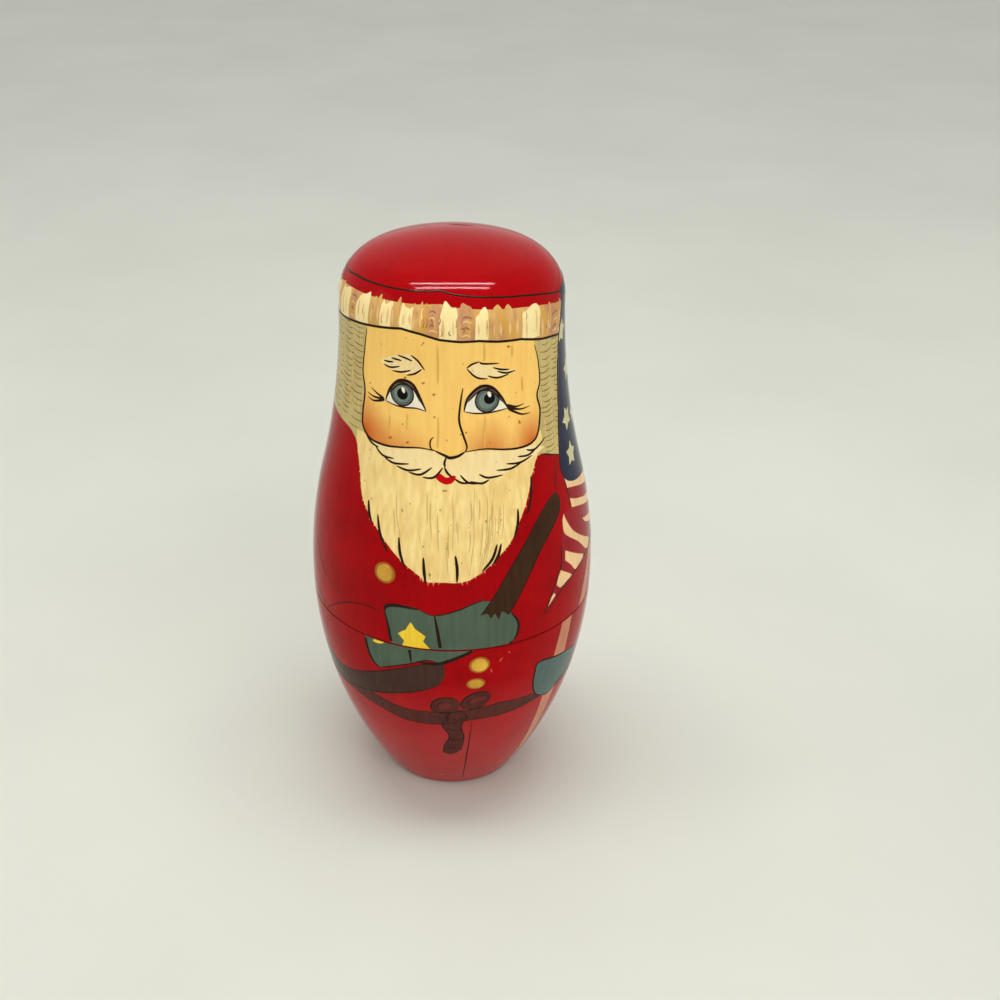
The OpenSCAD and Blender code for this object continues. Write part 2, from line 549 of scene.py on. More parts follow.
class Turning:
    """One turned piece: its lathe profile, read from its node in the frame."""

    sharp = math.radians(20.0)
    same = 1e-5

    def __init__(self, node: str) -> None:
        """Reads the profile of a node and finds its outside.

        Args:
            node: name of the node.
        """
        self.node = node
        self.path = self._walk(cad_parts[node].data)
        chains = self._chains()
        self.first, self.last = max(chains, key=lambda chain: self._area(*chain))

    @classmethod
    def _walk(cls, mesh: bpy.types.Mesh) -> list[Point]:
        """Follows the profile round the solid.

        Args:
            mesh: mesh of the turned solid.

        Returns:
            Radius and height along the profile, from axis to axis.
        """
        flat = bmesh.new()
        points = [flat.verts.new((math.hypot(v.co.x, v.co.y), 0.0, v.co.z)) for v in mesh.vertices]
        for edge in mesh.edges:
            flat.edges.new([points[k] for k in edge.vertices])
        bmesh.ops.remove_doubles(flat, verts=flat.verts, dist=cls.same)
        here = min((v for v in flat.verts if len(v.link_edges) == 1), key=lambda v: v.co.z)
        path, seen = [], set()
        while here is not None:
            seen.add(here)
            path.append((here.co.x, here.co.z))
            ways = [edge.other_vert(here) for edge in here.link_edges]
            here = next((v for v in ways if v not in seen), None)
        flat.free()
        if path[0][0] > cls.same:
            path.insert(0, (0.0, path[0][1]))
        if path[-1][0] > cls.same:
            path.append((0.0, path[-1][1]))
        area = sum(a[0] * b[1] - b[0] * a[1] for a, b in zip(path, path[1:]))
        return path if area > 0 else path[::-1]

    def heading(self, k: int) -> float:
        """Direction of the stretch after point k."""
        (r0, z0), (r1, z1) = self.path[k], self.path[k + 1]
        return math.atan2(z1 - z0, r1 - r0)

    def bend(self, k: int) -> float:
        """How sharply the profile turns.

        Args:
            k: point of the profile.

        Returns:
            The angle of the turn there.
        """
        if k in (0, len(self.path) - 1):
            return math.pi
        return abs((self.heading(k) - self.heading(k - 1) + math.pi) % math.tau - math.pi)

    def _chains(self) -> list[tuple[int, int]]:
        """First and last point of each stretch without a sharp corner."""
        corners = [k for k in range(len(self.path)) if self.bend(k) > self.sharp]
        return list(zip(corners, corners[1:]))

    def _area(self, first: int, last: int) -> float:
        """Turned area of one stretch, in a measure fit to compare."""
        stretch = self.path[first : last + 1]
        return sum((a[0] + b[0]) * math.dist(a, b) for a, b in zip(stretch, stretch[1:]))

    def side(self) -> list[Point]:
        """Radius and height along the painted outside, from low to high."""
        return self.path[self.first : self.last + 1]

    def facing(self, k: int, stretch: int) -> Point:
        """Outward direction at a point, as seen from one stretch beside it.

        Args:
            k: point of the profile.
            stretch: first point of the stretch.

        Returns:
            The direction's parts outward and upward.
        """
        turn = self.heading(stretch)
        if self.bend(k) <= self.sharp:
            other = self.heading(k if stretch == k - 1 else k - 1)
            turn += 0.5 * ((other - turn + math.pi) % math.tau - math.pi)
        return math.sin(turn), -math.cos(turn)


class Girth:
    """Size of the figure at each height, so that motifs keep their shape round the doll."""

    disc_points = 24

    def __init__(self, turnings: Iterable[Turning], stand: float, tall: float) -> None:
        """Reads radius against height from the outside of a doll, both in the figure's size.

        Args:
            turnings: the doll's pieces, from low to high.
            stand: height at which it stands.
            tall: height of the doll.
        """
        side = [point for turning in turnings for point in turning.side()]
        self.heights = [(z - stand) / tall * FIGURE_H for _, z in side]
        self.radii = [r / tall * FIGURE_H for r, _ in side]

    def degrees(self, length: float, height: float) -> float:
        """Angle that a length takes up round the doll at a height."""
        k = min(bisect_left(self.heights, height), len(self.radii) - 1)
        return math.degrees(length / max(self.radii[k], 1.0))

    def offset(self, centre: Point, across: float, up: float) -> Point:
        """The point that lies a length across and up from another."""
        return centre[0] + self.degrees(across, centre[1]), centre[1] + up

    def disc(self, centre: Point, wide: float, tall: float | None = None, tilt: float = 0.0) -> list[Point]:
        """A round or oval outline.

        Args:
            centre: its middle.
            wide: half its width.
            tall: half its height, or None for a circle.
            tilt: degrees that it is turned by.

        Returns:
            Points along the outline.
        """
        tall = wide if tall is None else tall
        turn = math.radians(tilt)
        spots = []
        for k in range(self.disc_points):
            a = math.tau * k / self.disc_points
            x, y = wide * math.cos(a), tall * math.sin(a)
            spot = (x * math.cos(turn) - y * math.sin(turn), x * math.sin(turn) + y * math.cos(turn))
            spots.append(self.offset(centre, *spot))
        return spots

    def star(self, centre: Point, radius: float, tilt: float, waist: float) -> list[Point]:
        """A star with five blunt tips.

        Args:
            centre: its middle.
            radius: distance of its tips.
            tilt: degrees that it is turned by.
            waist: share of the radius at its inner corners.

        Returns:
            Points along the outline.
        """
        spots = []
        for k in range(10):
            a = math.radians(90.0 + tilt + 36.0 * k)
            reach = radius if k % 2 == 0 else radius * waist
            spots.append(self.offset(centre, reach * math.cos(a), reach * math.sin(a)))
        return spots

    def leaf(self, foot: Point, tip: Point, half: float) -> list[Point]:
        """A leaf of brushed paint, widest in its middle.

        Args:
            foot: where it starts.
            tip: where it ends.
            half: half its width.

        Returns:
            Points along the outline.
        """
        unit = self.degrees(1.0, foot[1])
        run, rise = (tip[0] - foot[0]) / unit, tip[1] - foot[1]
        length = math.hypot(run, rise)
        middle = ((foot[0] + tip[0]) / 2, (foot[1] + tip[1]) / 2)
        across, up = -rise / length * half, run / length * half
        left = self.offset(middle, across, up)
        right = self.offset(middle, -across, -up)
        return [*smooth((foot, left, tip), steps=4), *smooth((tip, right, foot), steps=4)[1:-1]]


@dataclass(frozen=True)
class Patch:
    """A painted area, over the areas painted before it."""

    paint: Paint
    outline: Sequence[Point]


@dataclass(frozen=True)
class Stroke:
    """A line of the brush, its width in millimetres."""

    paint: Paint
    points: Sequence[Point]
    width: float
    taper: Taper = Taper.ENDS


@dataclass(frozen=True)
class Dab:
    """A round dab of thick paint, such as a button."""

    paint: Paint
    centre: Point
    wide: float
    tall: float


@dataclass
class Motif:
    """One part of the painting, with its share of the loose strokes."""

    girth: Girth
    seed: int
    detail: float

    def patches(self) -> list[Patch]:
        """Its painted areas, in order."""
        return []

    def strokes(self) -> list[Stroke]:
        """Its brush lines."""
        return []

    def dabs(self) -> list[Dab]:
        """Its dabs of thick paint."""
        return []

    @staticmethod
    def fill(paint: Paint, *runs: Line) -> Patch:
        """An area bounded by smooth runs that meet in corners."""
        return Patch(paint, [point for run in runs for point in smooth(run)])

    @staticmethod
    def blob(paint: Paint, points: Line) -> Patch:
        """An area with a smooth outline and no corner."""
        return Patch(paint, smooth(points, closed=True))

    @staticmethod
    def band(paint: Paint, low: Line, high: Line, shift: float = 0.0) -> Patch:
        """An area between two lines that run round the whole doll.

        Args:
            paint: its paint.
            low: its lower line.
            high: its upper line.
            shift: height added to the upper line.

        Returns:
            The area, long enough to be turned a little.
        """
        angles = [BAND_STEP * k for k in range(-BAND_STEPS, BAND_STEPS + 1)]
        edge = [(a, height_on(low, a)) for a in angles]
        return Patch(paint, edge + [(a, height_on(high, a) + shift) for a in reversed(angles)])

    @staticmethod
    def line(points: Line, width: float = 0.4, paint: Paint = Paint.INK, taper: Taper = Taper.ENDS) -> Stroke:
        """A smooth brush line."""
        return Stroke(paint, smooth(points, steps=6), width, taper)

    @staticmethod
    def round_line(line: Line, width: float, paint: Paint = Paint.INK) -> Stroke:
        """A brush line round the whole doll."""
        return Stroke(paint, [(float(a), height_on(line, a)) for a in range(-180, 181)], width, Taper.EVEN)


@dataclass
class Headgear(Motif):
    """The red cap and the band of fur round it."""

    cap_line: Line = (
        (-180, 142.6), (-130, 143.4), (-88, 144.2), (-67, 145.4), (-43, 145.8), (-18, 146.1), (-6, 146.5),
        (2, 145.8), (15, 145.2), (38, 144.1), (51, 143.1), (71, 141), (95, 140.4), (135, 141.2), (180, 142.6),
    )
    fur_line: Line = (
        (-180, 132.4), (-120, 133.4), (-77, 134.6), (-61, 135.7), (-37, 137.2), (-25, 138), (-15, 137.3),
        (-6, 136.2), (4, 135.7), (13, 135.7), (23.5, 134.9), (35, 134.4), (48, 132.7), (57, 131.9),
        (69, 130.7), (95, 130.2), (140, 131.2), (180, 132.4),
    )
    top: float = 170.0
    red_below: float = 2.4
    front_tufts: tuple[tuple[float, float, Paint], ...] = (
        (-76, 5, Paint.FUR), (-67, 6, Paint.FUR_PALE), (-58, 4, Paint.FUR_BROWN), (-50, 5, Paint.FUR_PALE),
        (-41, 4, Paint.FUR), (-34, 3.5, Paint.FUR_PALE), (-28, 3, Paint.FUR), (-22.5, 3.5, Paint.FUR_PALE),
        (-16.5, 3, Paint.FUR), (-9.5, 4.5, Paint.FUR_BROWN), (-1.6, 4.4, Paint.FUR_PALE),
        (6.8, 4.6, Paint.FUR_BROWN), (14.5, 3.6, Paint.FUR_PALE), (22, 4.5, Paint.FUR), (31, 5, Paint.FUR),
        (42.5, 6.5, Paint.FUR_PALE), (53, 5, Paint.FUR), (62, 5, Paint.FUR_BROWN),
    )
    back_step: float = 8.0
    hairs: int = 90
    chip: Line = ((184.0, 151.1), (168.0, 151.2), (151.0, 151.0))

    def _tufts(self) -> list[tuple[float, float, Paint]]:
        """Lays out the tufts in front and round the back.

        Returns:
            Angle, half width and paint of every tuft.
        """
        chance = random.Random(self.seed)
        tufts = list(self.front_tufts)
        order = (Paint.FUR_PALE, Paint.FUR, Paint.FUR_BROWN)
        angle = self.front_tufts[-1][0] + self.back_step
        while angle < self.front_tufts[0][0] + 360.0 - self.back_step / 2:
            tufts.append((angle, chance.uniform(3.5, 5.0), chance.choice(order)))
            angle += self.back_step
        return tufts

    def _outline(self, angle: float, half: float, chance: random.Random) -> list[Point]:
        """One tuft: a broad foot on the fur line, wavering sides and a head that slants to a soft peak.

        Args:
            angle: its middle.
            half: half its width in degrees.
            chance: source of its irregularity.

        Returns:
            Points along the outline.
        """
        low, high = height_on(self.fur_line, angle) + 0.2, height_on(self.cap_line, angle)
        middle = low + 0.45 * (high - low)
        left = [(angle - half, low), (angle - half * chance.uniform(0.85, 1.05), middle)]
        right = [(angle + half * chance.uniform(0.85, 1.05), middle), (angle + half, low)]
        head = [(angle - half * chance.uniform(0.8, 0.95), high - chance.uniform(2.2, 4.4))]
        for across in (-0.4, 0.05, 0.5):
            wander = half * (across + chance.uniform(-0.15, 0.15))
            head.append((angle + wander, high - chance.uniform(1.2, 3.4)))
        head.append((angle + half * chance.uniform(0.8, 0.95), high - chance.uniform(2.2, 4.4)))
        return smooth([*left, *head, *right], steps=3)

    def patches(self) -> list[Patch]:
        """Paints the cap, the fur band, and the tufts over the cap's edge with streaks in them.

        Returns:
            The areas, in order.
        """
        chance = random.Random(self.seed + 7)
        sky = ((-180, self.top), (180, self.top))
        areas = [
            self.band(Paint.FUR, self.fur_line, self.cap_line),
            self.band(Paint.CAP, tuple((a, h - self.red_below) for a, h in self.cap_line), sky),
        ]
        for angle, half, paint in self._tufts():
            areas.append(Patch(paint, self._outline(angle, half, chance)))
            low, high = height_on(self.fur_line, angle), height_on(self.cap_line, angle)
            streak = Paint.FUR if paint is Paint.FUR_BROWN else Paint.FUR_PEACH
            for share in (-0.5, 0.45):
                at = angle + half * share + chance.uniform(-0.8, 0.8)
                foot, tip = low + chance.uniform(0.2, 1.4), high - chance.uniform(3.4, 5.4)
                head = (at + chance.uniform(-0.8, 0.8), tip)
                leaf = self.girth.leaf((at, foot), head, chance.uniform(0.2, 0.42))
                areas.append(Patch(streak, leaf))
        return areas

    def strokes(self) -> list[Stroke]:
        """Draws the two lines round the head, fine hairs, and short dashes across the brown tufts.

        Returns:
            The brush lines.
        """
        chance = random.Random(self.seed + 1)
        lines = [self.round_line(self.cap_line, 0.48), self.round_line(self.fur_line, 0.62)]
        lines.append(self.line(self.chip, 1.1, Paint.SEAM))
        for _ in range(round(self.hairs * self.detail)):
            angle = chance.uniform(-180, 180)
            low, high = height_on(self.fur_line, angle), height_on(self.cap_line, angle)
            foot = chance.uniform(low + 0.4, high - 5.0)
            tip = min(foot + chance.uniform(1.0, 3.0), high - 3.0)
            points = ((angle, foot), (angle + chance.uniform(-1, 1), (foot + tip) / 2), (angle, tip))
            paint = chance.choice((Paint.FUR_LINE, Paint.FUR_BROWN, Paint.FUR_PALE))
            lines.append(self.line(points, chance.uniform(0.2, 0.4), paint, Taper.TIP))
        for angle, half, paint in self._tufts():
            if paint is Paint.FUR_BROWN:
                low = height_on(self.fur_line, angle) + 1.2
                for step in range(4):
                    height = low + 1.5 * step + chance.uniform(-0.3, 0.3)
                    ends = (angle - half * chance.uniform(0.2, 0.7), angle + half * chance.uniform(0.2, 0.7))
                    points = ((ends[0], height), (angle, height + 0.35), (ends[1], height - 0.1))
                    lines.append(self.line(points, 0.45, (Paint.FUR_PEACH, Paint.FUR_LINE)[step % 2]))
        return lines


@dataclass(frozen=True)
class Eye:
    """One eye: centres of its rounds, its lids, and its lashes from root to tip."""

    iris: Point
    pupil: Point
    glint: Point
    upper_lid: Line
    lower_lid: Line
    lashes: tuple[Line, ...]


@dataclass
class Face(Motif):
    """The face between fur band, hair and moustache."""

    left_edge: Line = (
        (-44.5, 139), (-45.7, 135.8), (-47.3, 131.3), (-48.6, 124.8), (-46.6, 120.1), (-47.2, 114.9),
        (-46.4, 111.2), (-41.1, 108.8), (-32.2, 108.3), (-24.3, 108.7), (-14.7, 109.3), (-7.7, 108.9),
    )
    nose_tip: Line = ((-7.7, 108.9), (-3.1, 107.8), (-0.9, 107.3), (2.7, 107.7), (5.9, 108.7))
    right_edge: Line = (
        (5.9, 108.7), (15.1, 109), (24.8, 108.1), (32.6, 107.6), (39.7, 107.9), (44, 109.8), (46.5, 115),
        (45, 119), (47.4, 122.4), (46.5, 127.7), (44, 131.9), (43, 139),
    )
    nose_line: Line = ((5.2, 124.4), (4.2, 121.5), (3.3, 116.6), (5.1, 112.9), (6.8, 110), (5.9, 108.7))
    nostril: Line = ((-7.4, 108.9), (-9.4, 109.3), (-10.1, 110.5), (-9.6, 111.6), (-8.3, 112.3))
    iris_r: float = 2.9
    pale_share: float = 0.72
    pupil_r: float = 1.4
    glint_oval: tuple[float, float, float] = (0.42, 0.75, 20.0)
    left_eye: Eye = Eye(
        (-24.4, 121.9), (-24.2, 121.9), (-23.7, 122.9),
        ((-33.2, 119.4), (-30.9, 122.7), (-25.6, 125.2), (-19.3, 124.8), (-15.2, 121.6), (-12.2, 118.4)),
        ((-33.2, 119.4), (-28, 118.8), (-22.6, 118.7), (-17, 118.9), (-12.2, 118.4)),
        (((-34.2, 119.7), (-38.5, 120.5), (-42.7, 121.5)), ((-33.9, 119.6), (-40.3, 119.4), (-44.8, 120)),
         ((-33.9, 119.4), (-40.2, 118.4), (-44.4, 118.9))),
    )
    right_eye: Eye = Eye(
        (16.9, 120.9), (18, 121.3), (17.9, 122.3),
        ((5.6, 118.6), (7.5, 121.9), (13.4, 124.4), (19.3, 123.9), (24.3, 121), (27.2, 118.1)),
        ((5.6, 118.6), (10.5, 118), (16.6, 117.8), (22, 117.9), (27.2, 118.1)),
        (((26.5, 119), (31.7, 118), (36.4, 118.2)), ((27, 118.3), (33.9, 117.1), (40, 117.1)),
         ((27.2, 118), (34.4, 115.8), (40.1, 115.4))),
    )
    left_brow: Line = (
        (-36.4, 129), (-30.4, 130.7), (-25, 131.5), (-19.5, 131.8), (-14.2, 128.5), (-19.5, 127),
        (-29.2, 127.3), (-35.1, 128.3),
    )
    right_brow: Line = (
        (7, 129.2), (13.2, 130.4), (20.2, 129.1), (31.9, 127), (25.5, 126.4), (18.8, 126.5), (13.8, 126.5),
        (9.5, 127.6),
    )
    brow_hairs: tuple[Line, ...] = (
        ((-20, 131.8), (-16.4, 130.6), (-13.1, 128.5)), ((-26.9, 131.3), (-22.6, 130.9), (-19.2, 130.4)),
        ((-30.4, 130.3), (-27.5, 130.2), (-24.8, 130.1)), ((-34.8, 129.2), (-32.1, 129.2), (-29.2, 129.4)),
        ((-34.8, 128.3), (-30.9, 127.9), (-25.8, 128.6)), ((-29.8, 127.2), (-24.8, 127.3), (-20, 128.1)),
        ((-22.1, 126.7), (-17.9, 127.4), (-14.4, 128.7)), ((7, 129.2), (9.5, 130.1), (13.2, 130.6)),
        ((13.2, 130.5), (15.1, 130), (23.1, 129.6)), ((19.8, 128.8), (24.1, 128), (28.6, 127.6)),
        ((22.1, 127.7), (26.8, 126.9), (31.9, 127)), ((17.2, 126.9), (22.1, 126.1), (28.3, 126.5)),
        ((7, 129.1), (10.1, 127.4), (13.1, 126.5), (17.2, 126.2)),
    )
    lid_depth: float = 1.0
    grain: tuple[Line, ...] = (
        ((-6.9, 134.7), (-6.7, 130), (-6.7, 125.4)), ((-6.5, 117.3), (-6.4, 113), (-6.6, 109.6)),
        ((15.3, 135.4), (15.6, 133), (15.6, 130.6)), ((15.6, 117.3), (15.2, 113), (14.8, 109.2)),
        ((30, 133.4), (30.2, 132), (30, 130.6)), ((-21.3, 117.2), (-21.4, 115), (-21.3, 112.9)),
        ((35.6, 125), (35.8, 123), (35.6, 121.4)), ((-30.5, 116), (-30.4, 114), (-30.6, 112.6)),
    )

    def patches(self) -> list[Patch]:
        """Paints skin, eyes and brows.

        Returns:
            The areas, in order.
        """
        areas = [self.fill(Paint.SKIN, self.left_edge, self.nose_tip, self.right_edge)]
        for eye in (self.left_eye, self.right_eye):
            areas.append(self.fill(Paint.EYE_WHITE, eye.upper_lid, eye.lower_lid[::-1]))
            areas.append(Patch(Paint.IRIS, self.girth.disc(eye.iris, self.iris_r)))
            areas.append(Patch(Paint.IRIS_PALE, self.girth.disc(eye.iris, self.iris_r * self.pale_share)))
            areas.append(Patch(Paint.PUPIL, self.girth.disc(eye.pupil, self.pupil_r)))
            areas.append(Patch(Paint.EYE_WHITE, self.girth.disc(eye.glint, *self.glint_oval)))
            areas.append(self.fill(Paint.LID, eye.upper_lid, self._lid_edge(eye)[::-1]))
        areas.append(self.blob(Paint.MOUSTACHE, self.left_brow))
        areas.append(self.blob(Paint.MOUSTACHE, self.right_brow))
        return areas

    def _lid_edge(self, eye: Eye) -> Line:
        """Lower edge of the upper lid."""
        return tuple((angle, height - self.lid_depth) for angle, height in eye.upper_lid[1:-1])

    def strokes(self) -> list[Stroke]:
        """Draws the face's outline, nose, lids, lashes, brows, and the grain that shows through.

        Returns:
            The brush lines.
        """
        lines = [
            self.line(self.left_edge[1:], 0.62),
            self.line(self.nose_tip, 0.8),
            self.line(self.right_edge[:-1], 0.62),
            self.line(self.nose_line, 0.55),
            self.line(self.nostril, 0.4),
        ]
        for eye in (self.left_eye, self.right_eye):
            ring = self.girth.disc(eye.iris, self.iris_r)
            lines.append(Stroke(Paint.INK, [*ring, ring[0]], 0.36, Taper.EVEN))
            lines.append(self.line(eye.upper_lid, 0.75))
            lines.append(self.line(self._lid_edge(eye), 0.45))
            lines.append(self.line(eye.lower_lid, 0.42))
            lines += [self.line(lash, 0.72, taper=Taper.TIP) for lash in eye.lashes]
        lines += [self.line(hair, 0.5) for hair in self.brow_hairs]
        lines += [self.line(run, 0.6, Paint.SKIN_LINE) for run in self.grain]
        return lines


@dataclass
class Hair(Motif):
    """Hair at both sides of the face and round the back, with short wavy strokes."""

    low_line: Line = (
        (-180, 108), (-130, 109.6), (-90, 110.4), (-68, 109.5), (-58, 109), (-52.4, 108.1), (-48.5, 105.7),
        (-40, 104), (40, 104), (46, 104.2), (59, 101.2), (75, 100), (110, 104), (150, 107), (180, 108),
    )
    top: float = 141.0
    nape_line: Line = ((45, 104), (47.5, 103.6), (52, 102.6), (59.3, 101.2))
    top_row: float = 135.0
    row_pitch: float = 1.5
    columns: int = 26
    free_from: float = 47.0
    pale: int = 90

    def patches(self) -> list[Patch]:
        """One band, which the face covers in front."""
        return [self.band(Paint.HAIR, self.low_line, ((-180, self.top), (180, self.top)))]

    def strokes(self) -> list[Stroke]:
        """Draws short strokes across, in columns of rows, and pale streaks down the hair.

        Returns:
            The brush lines.
        """
        chance = random.Random(self.seed + 2)
        lines = [self.line(self.nape_line, 0.45)]
        span = 360.0 - 2 * self.free_from
        for k in range(self.columns):
            middle = self.free_from + span * (k + 0.5) / self.columns
            height = self.top_row
            while height > height_on(self.low_line, middle) + 0.8:
                at = middle + chance.uniform(-1.4, 1.4)
                half = chance.uniform(0.3, 0.52) * span / self.columns
                sag = chance.uniform(0.25, 0.6)
                points = ((at - half, height + sag), (at, height), (at + half, height + sag * 0.8))
                lines.append(self.line(points, chance.uniform(0.2, 0.34), Paint.HAIR_LINE))
                height -= self.row_pitch / self.detail * chance.uniform(0.75, 1.3)
        for _ in range(round(self.pale * self.detail)):
            at = chance.uniform(self.free_from, 360.0 - self.free_from)
            head = chance.uniform(height_on(self.low_line, at) + 6.0, self.top_row)
            foot = head - chance.uniform(2.5, 5.5)
            points = ((at, head), (at + chance.uniform(-0.8, 0.8), (head + foot) / 2), (at, foot))
            lines.append(self.line(points, chance.uniform(0.25, 0.5), Paint.FUR_PEACH))
        return lines


@dataclass
class Whiskers(Motif):
    """Beard, moustache and mouth."""

    beard_left: Line = (
        (-50, 109.5), (-49.6, 106.8), (-45.2, 100), (-41.9, 94.2), (-36.2, 90), (-29.4, 86), (-22.1, 81.8),
        (-14.5, 78.4), (-9.3, 76.2),
    )
    beard_low: Line = ((-9.3, 76.2), (-4, 76.4), (2, 76.3), (6.9, 76.9))
    beard_right: Line = (
        (6.9, 76.9), (12.9, 79.2), (19.2, 82.4), (24.7, 85.7), (29.1, 90), (33.6, 94.4), (37.8, 100),
        (42, 104.2), (46, 107), (46, 110),
    )
    moustache_left: tuple[Line, ...] = (
        ((-3, 107.4), (-12, 108.8), (-24, 108.6), (-34, 108.2), (-45, 110.4)),
        ((-45, 110.4), (-38, 106.9), (-29, 105), (-20, 103.7), (-11, 102.3), (-6, 103.4), (-3.2, 105)),
    )
    moustache_right: tuple[Line, ...] = (
        ((-3, 107.4), (6, 108.6), (24, 108), (36, 107.6), (47.5, 105.6)),
        ((47.5, 105.6), (39, 104.2), (28, 103), (20, 101.6), (11, 100.9), (4, 102), (-3.2, 105)),
    )
    lips: Line = (
        (-7.6, 102.7), (-5.3, 103.4), (-2.5, 102.5), (0.7, 103), (1.7, 102.5), (0.2, 101.2), (-2.5, 100.8),
        (-5.4, 101.4),
    )
    curls: tuple[Line, ...] = (
        ((-43.8, 109.4), (-40, 107.9), (-35.6, 107.3)), ((-37.5, 107.4), (-33, 105.7), (-27, 105.6)),
        ((-32, 105.4), (-27, 104.5), (-19.6, 105)), ((-25.5, 104), (-20, 103.4), (-13.7, 104.2)),
        ((-19.5, 103), (-14, 102.8), (-8.9, 104.8)), ((-13, 102.2), (-8, 102.4), (-4, 104.9)),
        ((-2.6, 107.4), (-3.4, 106), (-3, 105)), ((-3.4, 105), (-2, 103.6), (0.4, 102.4)),
        ((1.1, 102.2), (4, 101.2), (7.6, 101)), ((3.6, 103.1), (7, 101.2), (12.3, 100.7)),
        ((8, 101.4), (13, 100.7), (16.5, 101.4)), ((12, 103), (16, 101.9), (23, 102)),
        ((20, 103.4), (27, 103.1), (33, 104)), ((25, 104.5), (32, 104), (38.9, 104.8)),
        ((31, 105.6), (37, 105.2), (42.4, 106.3)), ((36, 106.6), (41, 106), (48, 107.6)),
    )
    locks: tuple[Line, ...] = (
        ((-37.9, 93.8), (-36.9, 91), (-34.8, 88.5)), ((-32.4, 91.1), (-30.4, 86.6), (-26.4, 82.3)),
        ((-21.8, 86.8), (-21, 83), (-18.8, 79.4)), ((-11.3, 82.6), (-10.9, 79), (-10.2, 75.9)),
        ((1.3, 83.4), (2, 80), (1.9, 76.4)), ((18.3, 85.4), (16, 81.8), (11.7, 78.9)),
        ((20, 85.4), (18.6, 82.6), (16.2, 80.4)), ((28.7, 93), (28, 89.5), (25.8, 86.1)),
        ((37.2, 100), (36, 95), (32.9, 91)),
    )
    streaks: int = 44
    fringe: int = 44
    beard_half: float = 38.0
    beard_foot: float = 75.5
    beard_broad: float = 100.0

    def patches(self) -> list[Patch]:
        """Paints beard, moustache, lips, and the ragged fringe of the beard.

        Returns:
            The areas, in order.
        """
        chance = random.Random(self.seed + 3)
        areas = []
        edge = smooth(self.beard_left[1:] + self.beard_low[1:] + self.beard_right[1:-2])
        for paint, longest in ((Paint.BEARD_EDGE, 1.1), (Paint.BEARD, 0.6)):
            for k in range(self.fringe):
                angle, height = edge[int((k + chance.random()) / self.fringe * len(edge))]
                foot = (angle * 0.88, height + chance.uniform(2.0, 4.0))
                tip = (angle * 1.01, height - chance.uniform(0.0, longest))
                areas.append(Patch(paint, self.girth.leaf(foot, tip, chance.uniform(0.3, 0.6))))
            if paint is Paint.BEARD_EDGE:
                areas.append(self.fill(Paint.BEARD, self.beard_left, self.beard_low, self.beard_right))
        areas.append(self.fill(Paint.MOUSTACHE, *self.moustache_left))
        areas.append(self.fill(Paint.MOUSTACHE, *self.moustache_right))
        areas.append(self.blob(Paint.LIP, self.lips))
        return areas

    def _reach(self, height: float) -> float:
        """Angle from the middle to the beard's edge, at a height."""
        share = (height - self.beard_foot) / (self.beard_broad - self.beard_foot)
        return self.beard_half * math.sqrt(share)

    def strokes(self) -> list[Stroke]:
        """Draws curls of the moustache, dark locks and pale streaks of the beard.

        Returns:
            The brush lines.
        """
        chance = random.Random(self.seed + 4)
        lines = [self.line(curl, 0.58) for curl in self.curls]
        lines += [self.line(lock, 0.78) for lock in self.locks]
        for _ in range(round(self.streaks * self.detail)):
            lean = chance.uniform(-0.92, 0.92)
            head = chance.uniform(86, 100)
            foot = max(head - chance.uniform(4, 15), 78.0)
            low, high = lean * self._reach(foot), lean * self._reach(head)
            middle = (0.85 * low + 0.15 * high + chance.uniform(-0.6, 0.6), (head + foot) / 2)
            points = ((0.7 * low + 0.3 * high, head), middle, (low, foot))
            paint = chance.choice((Paint.BEARD_LINE, Paint.BEARD_LINE, Paint.MOUSTACHE))
            lines.append(self.line(points, chance.uniform(0.15, 0.32), paint))
        return lines


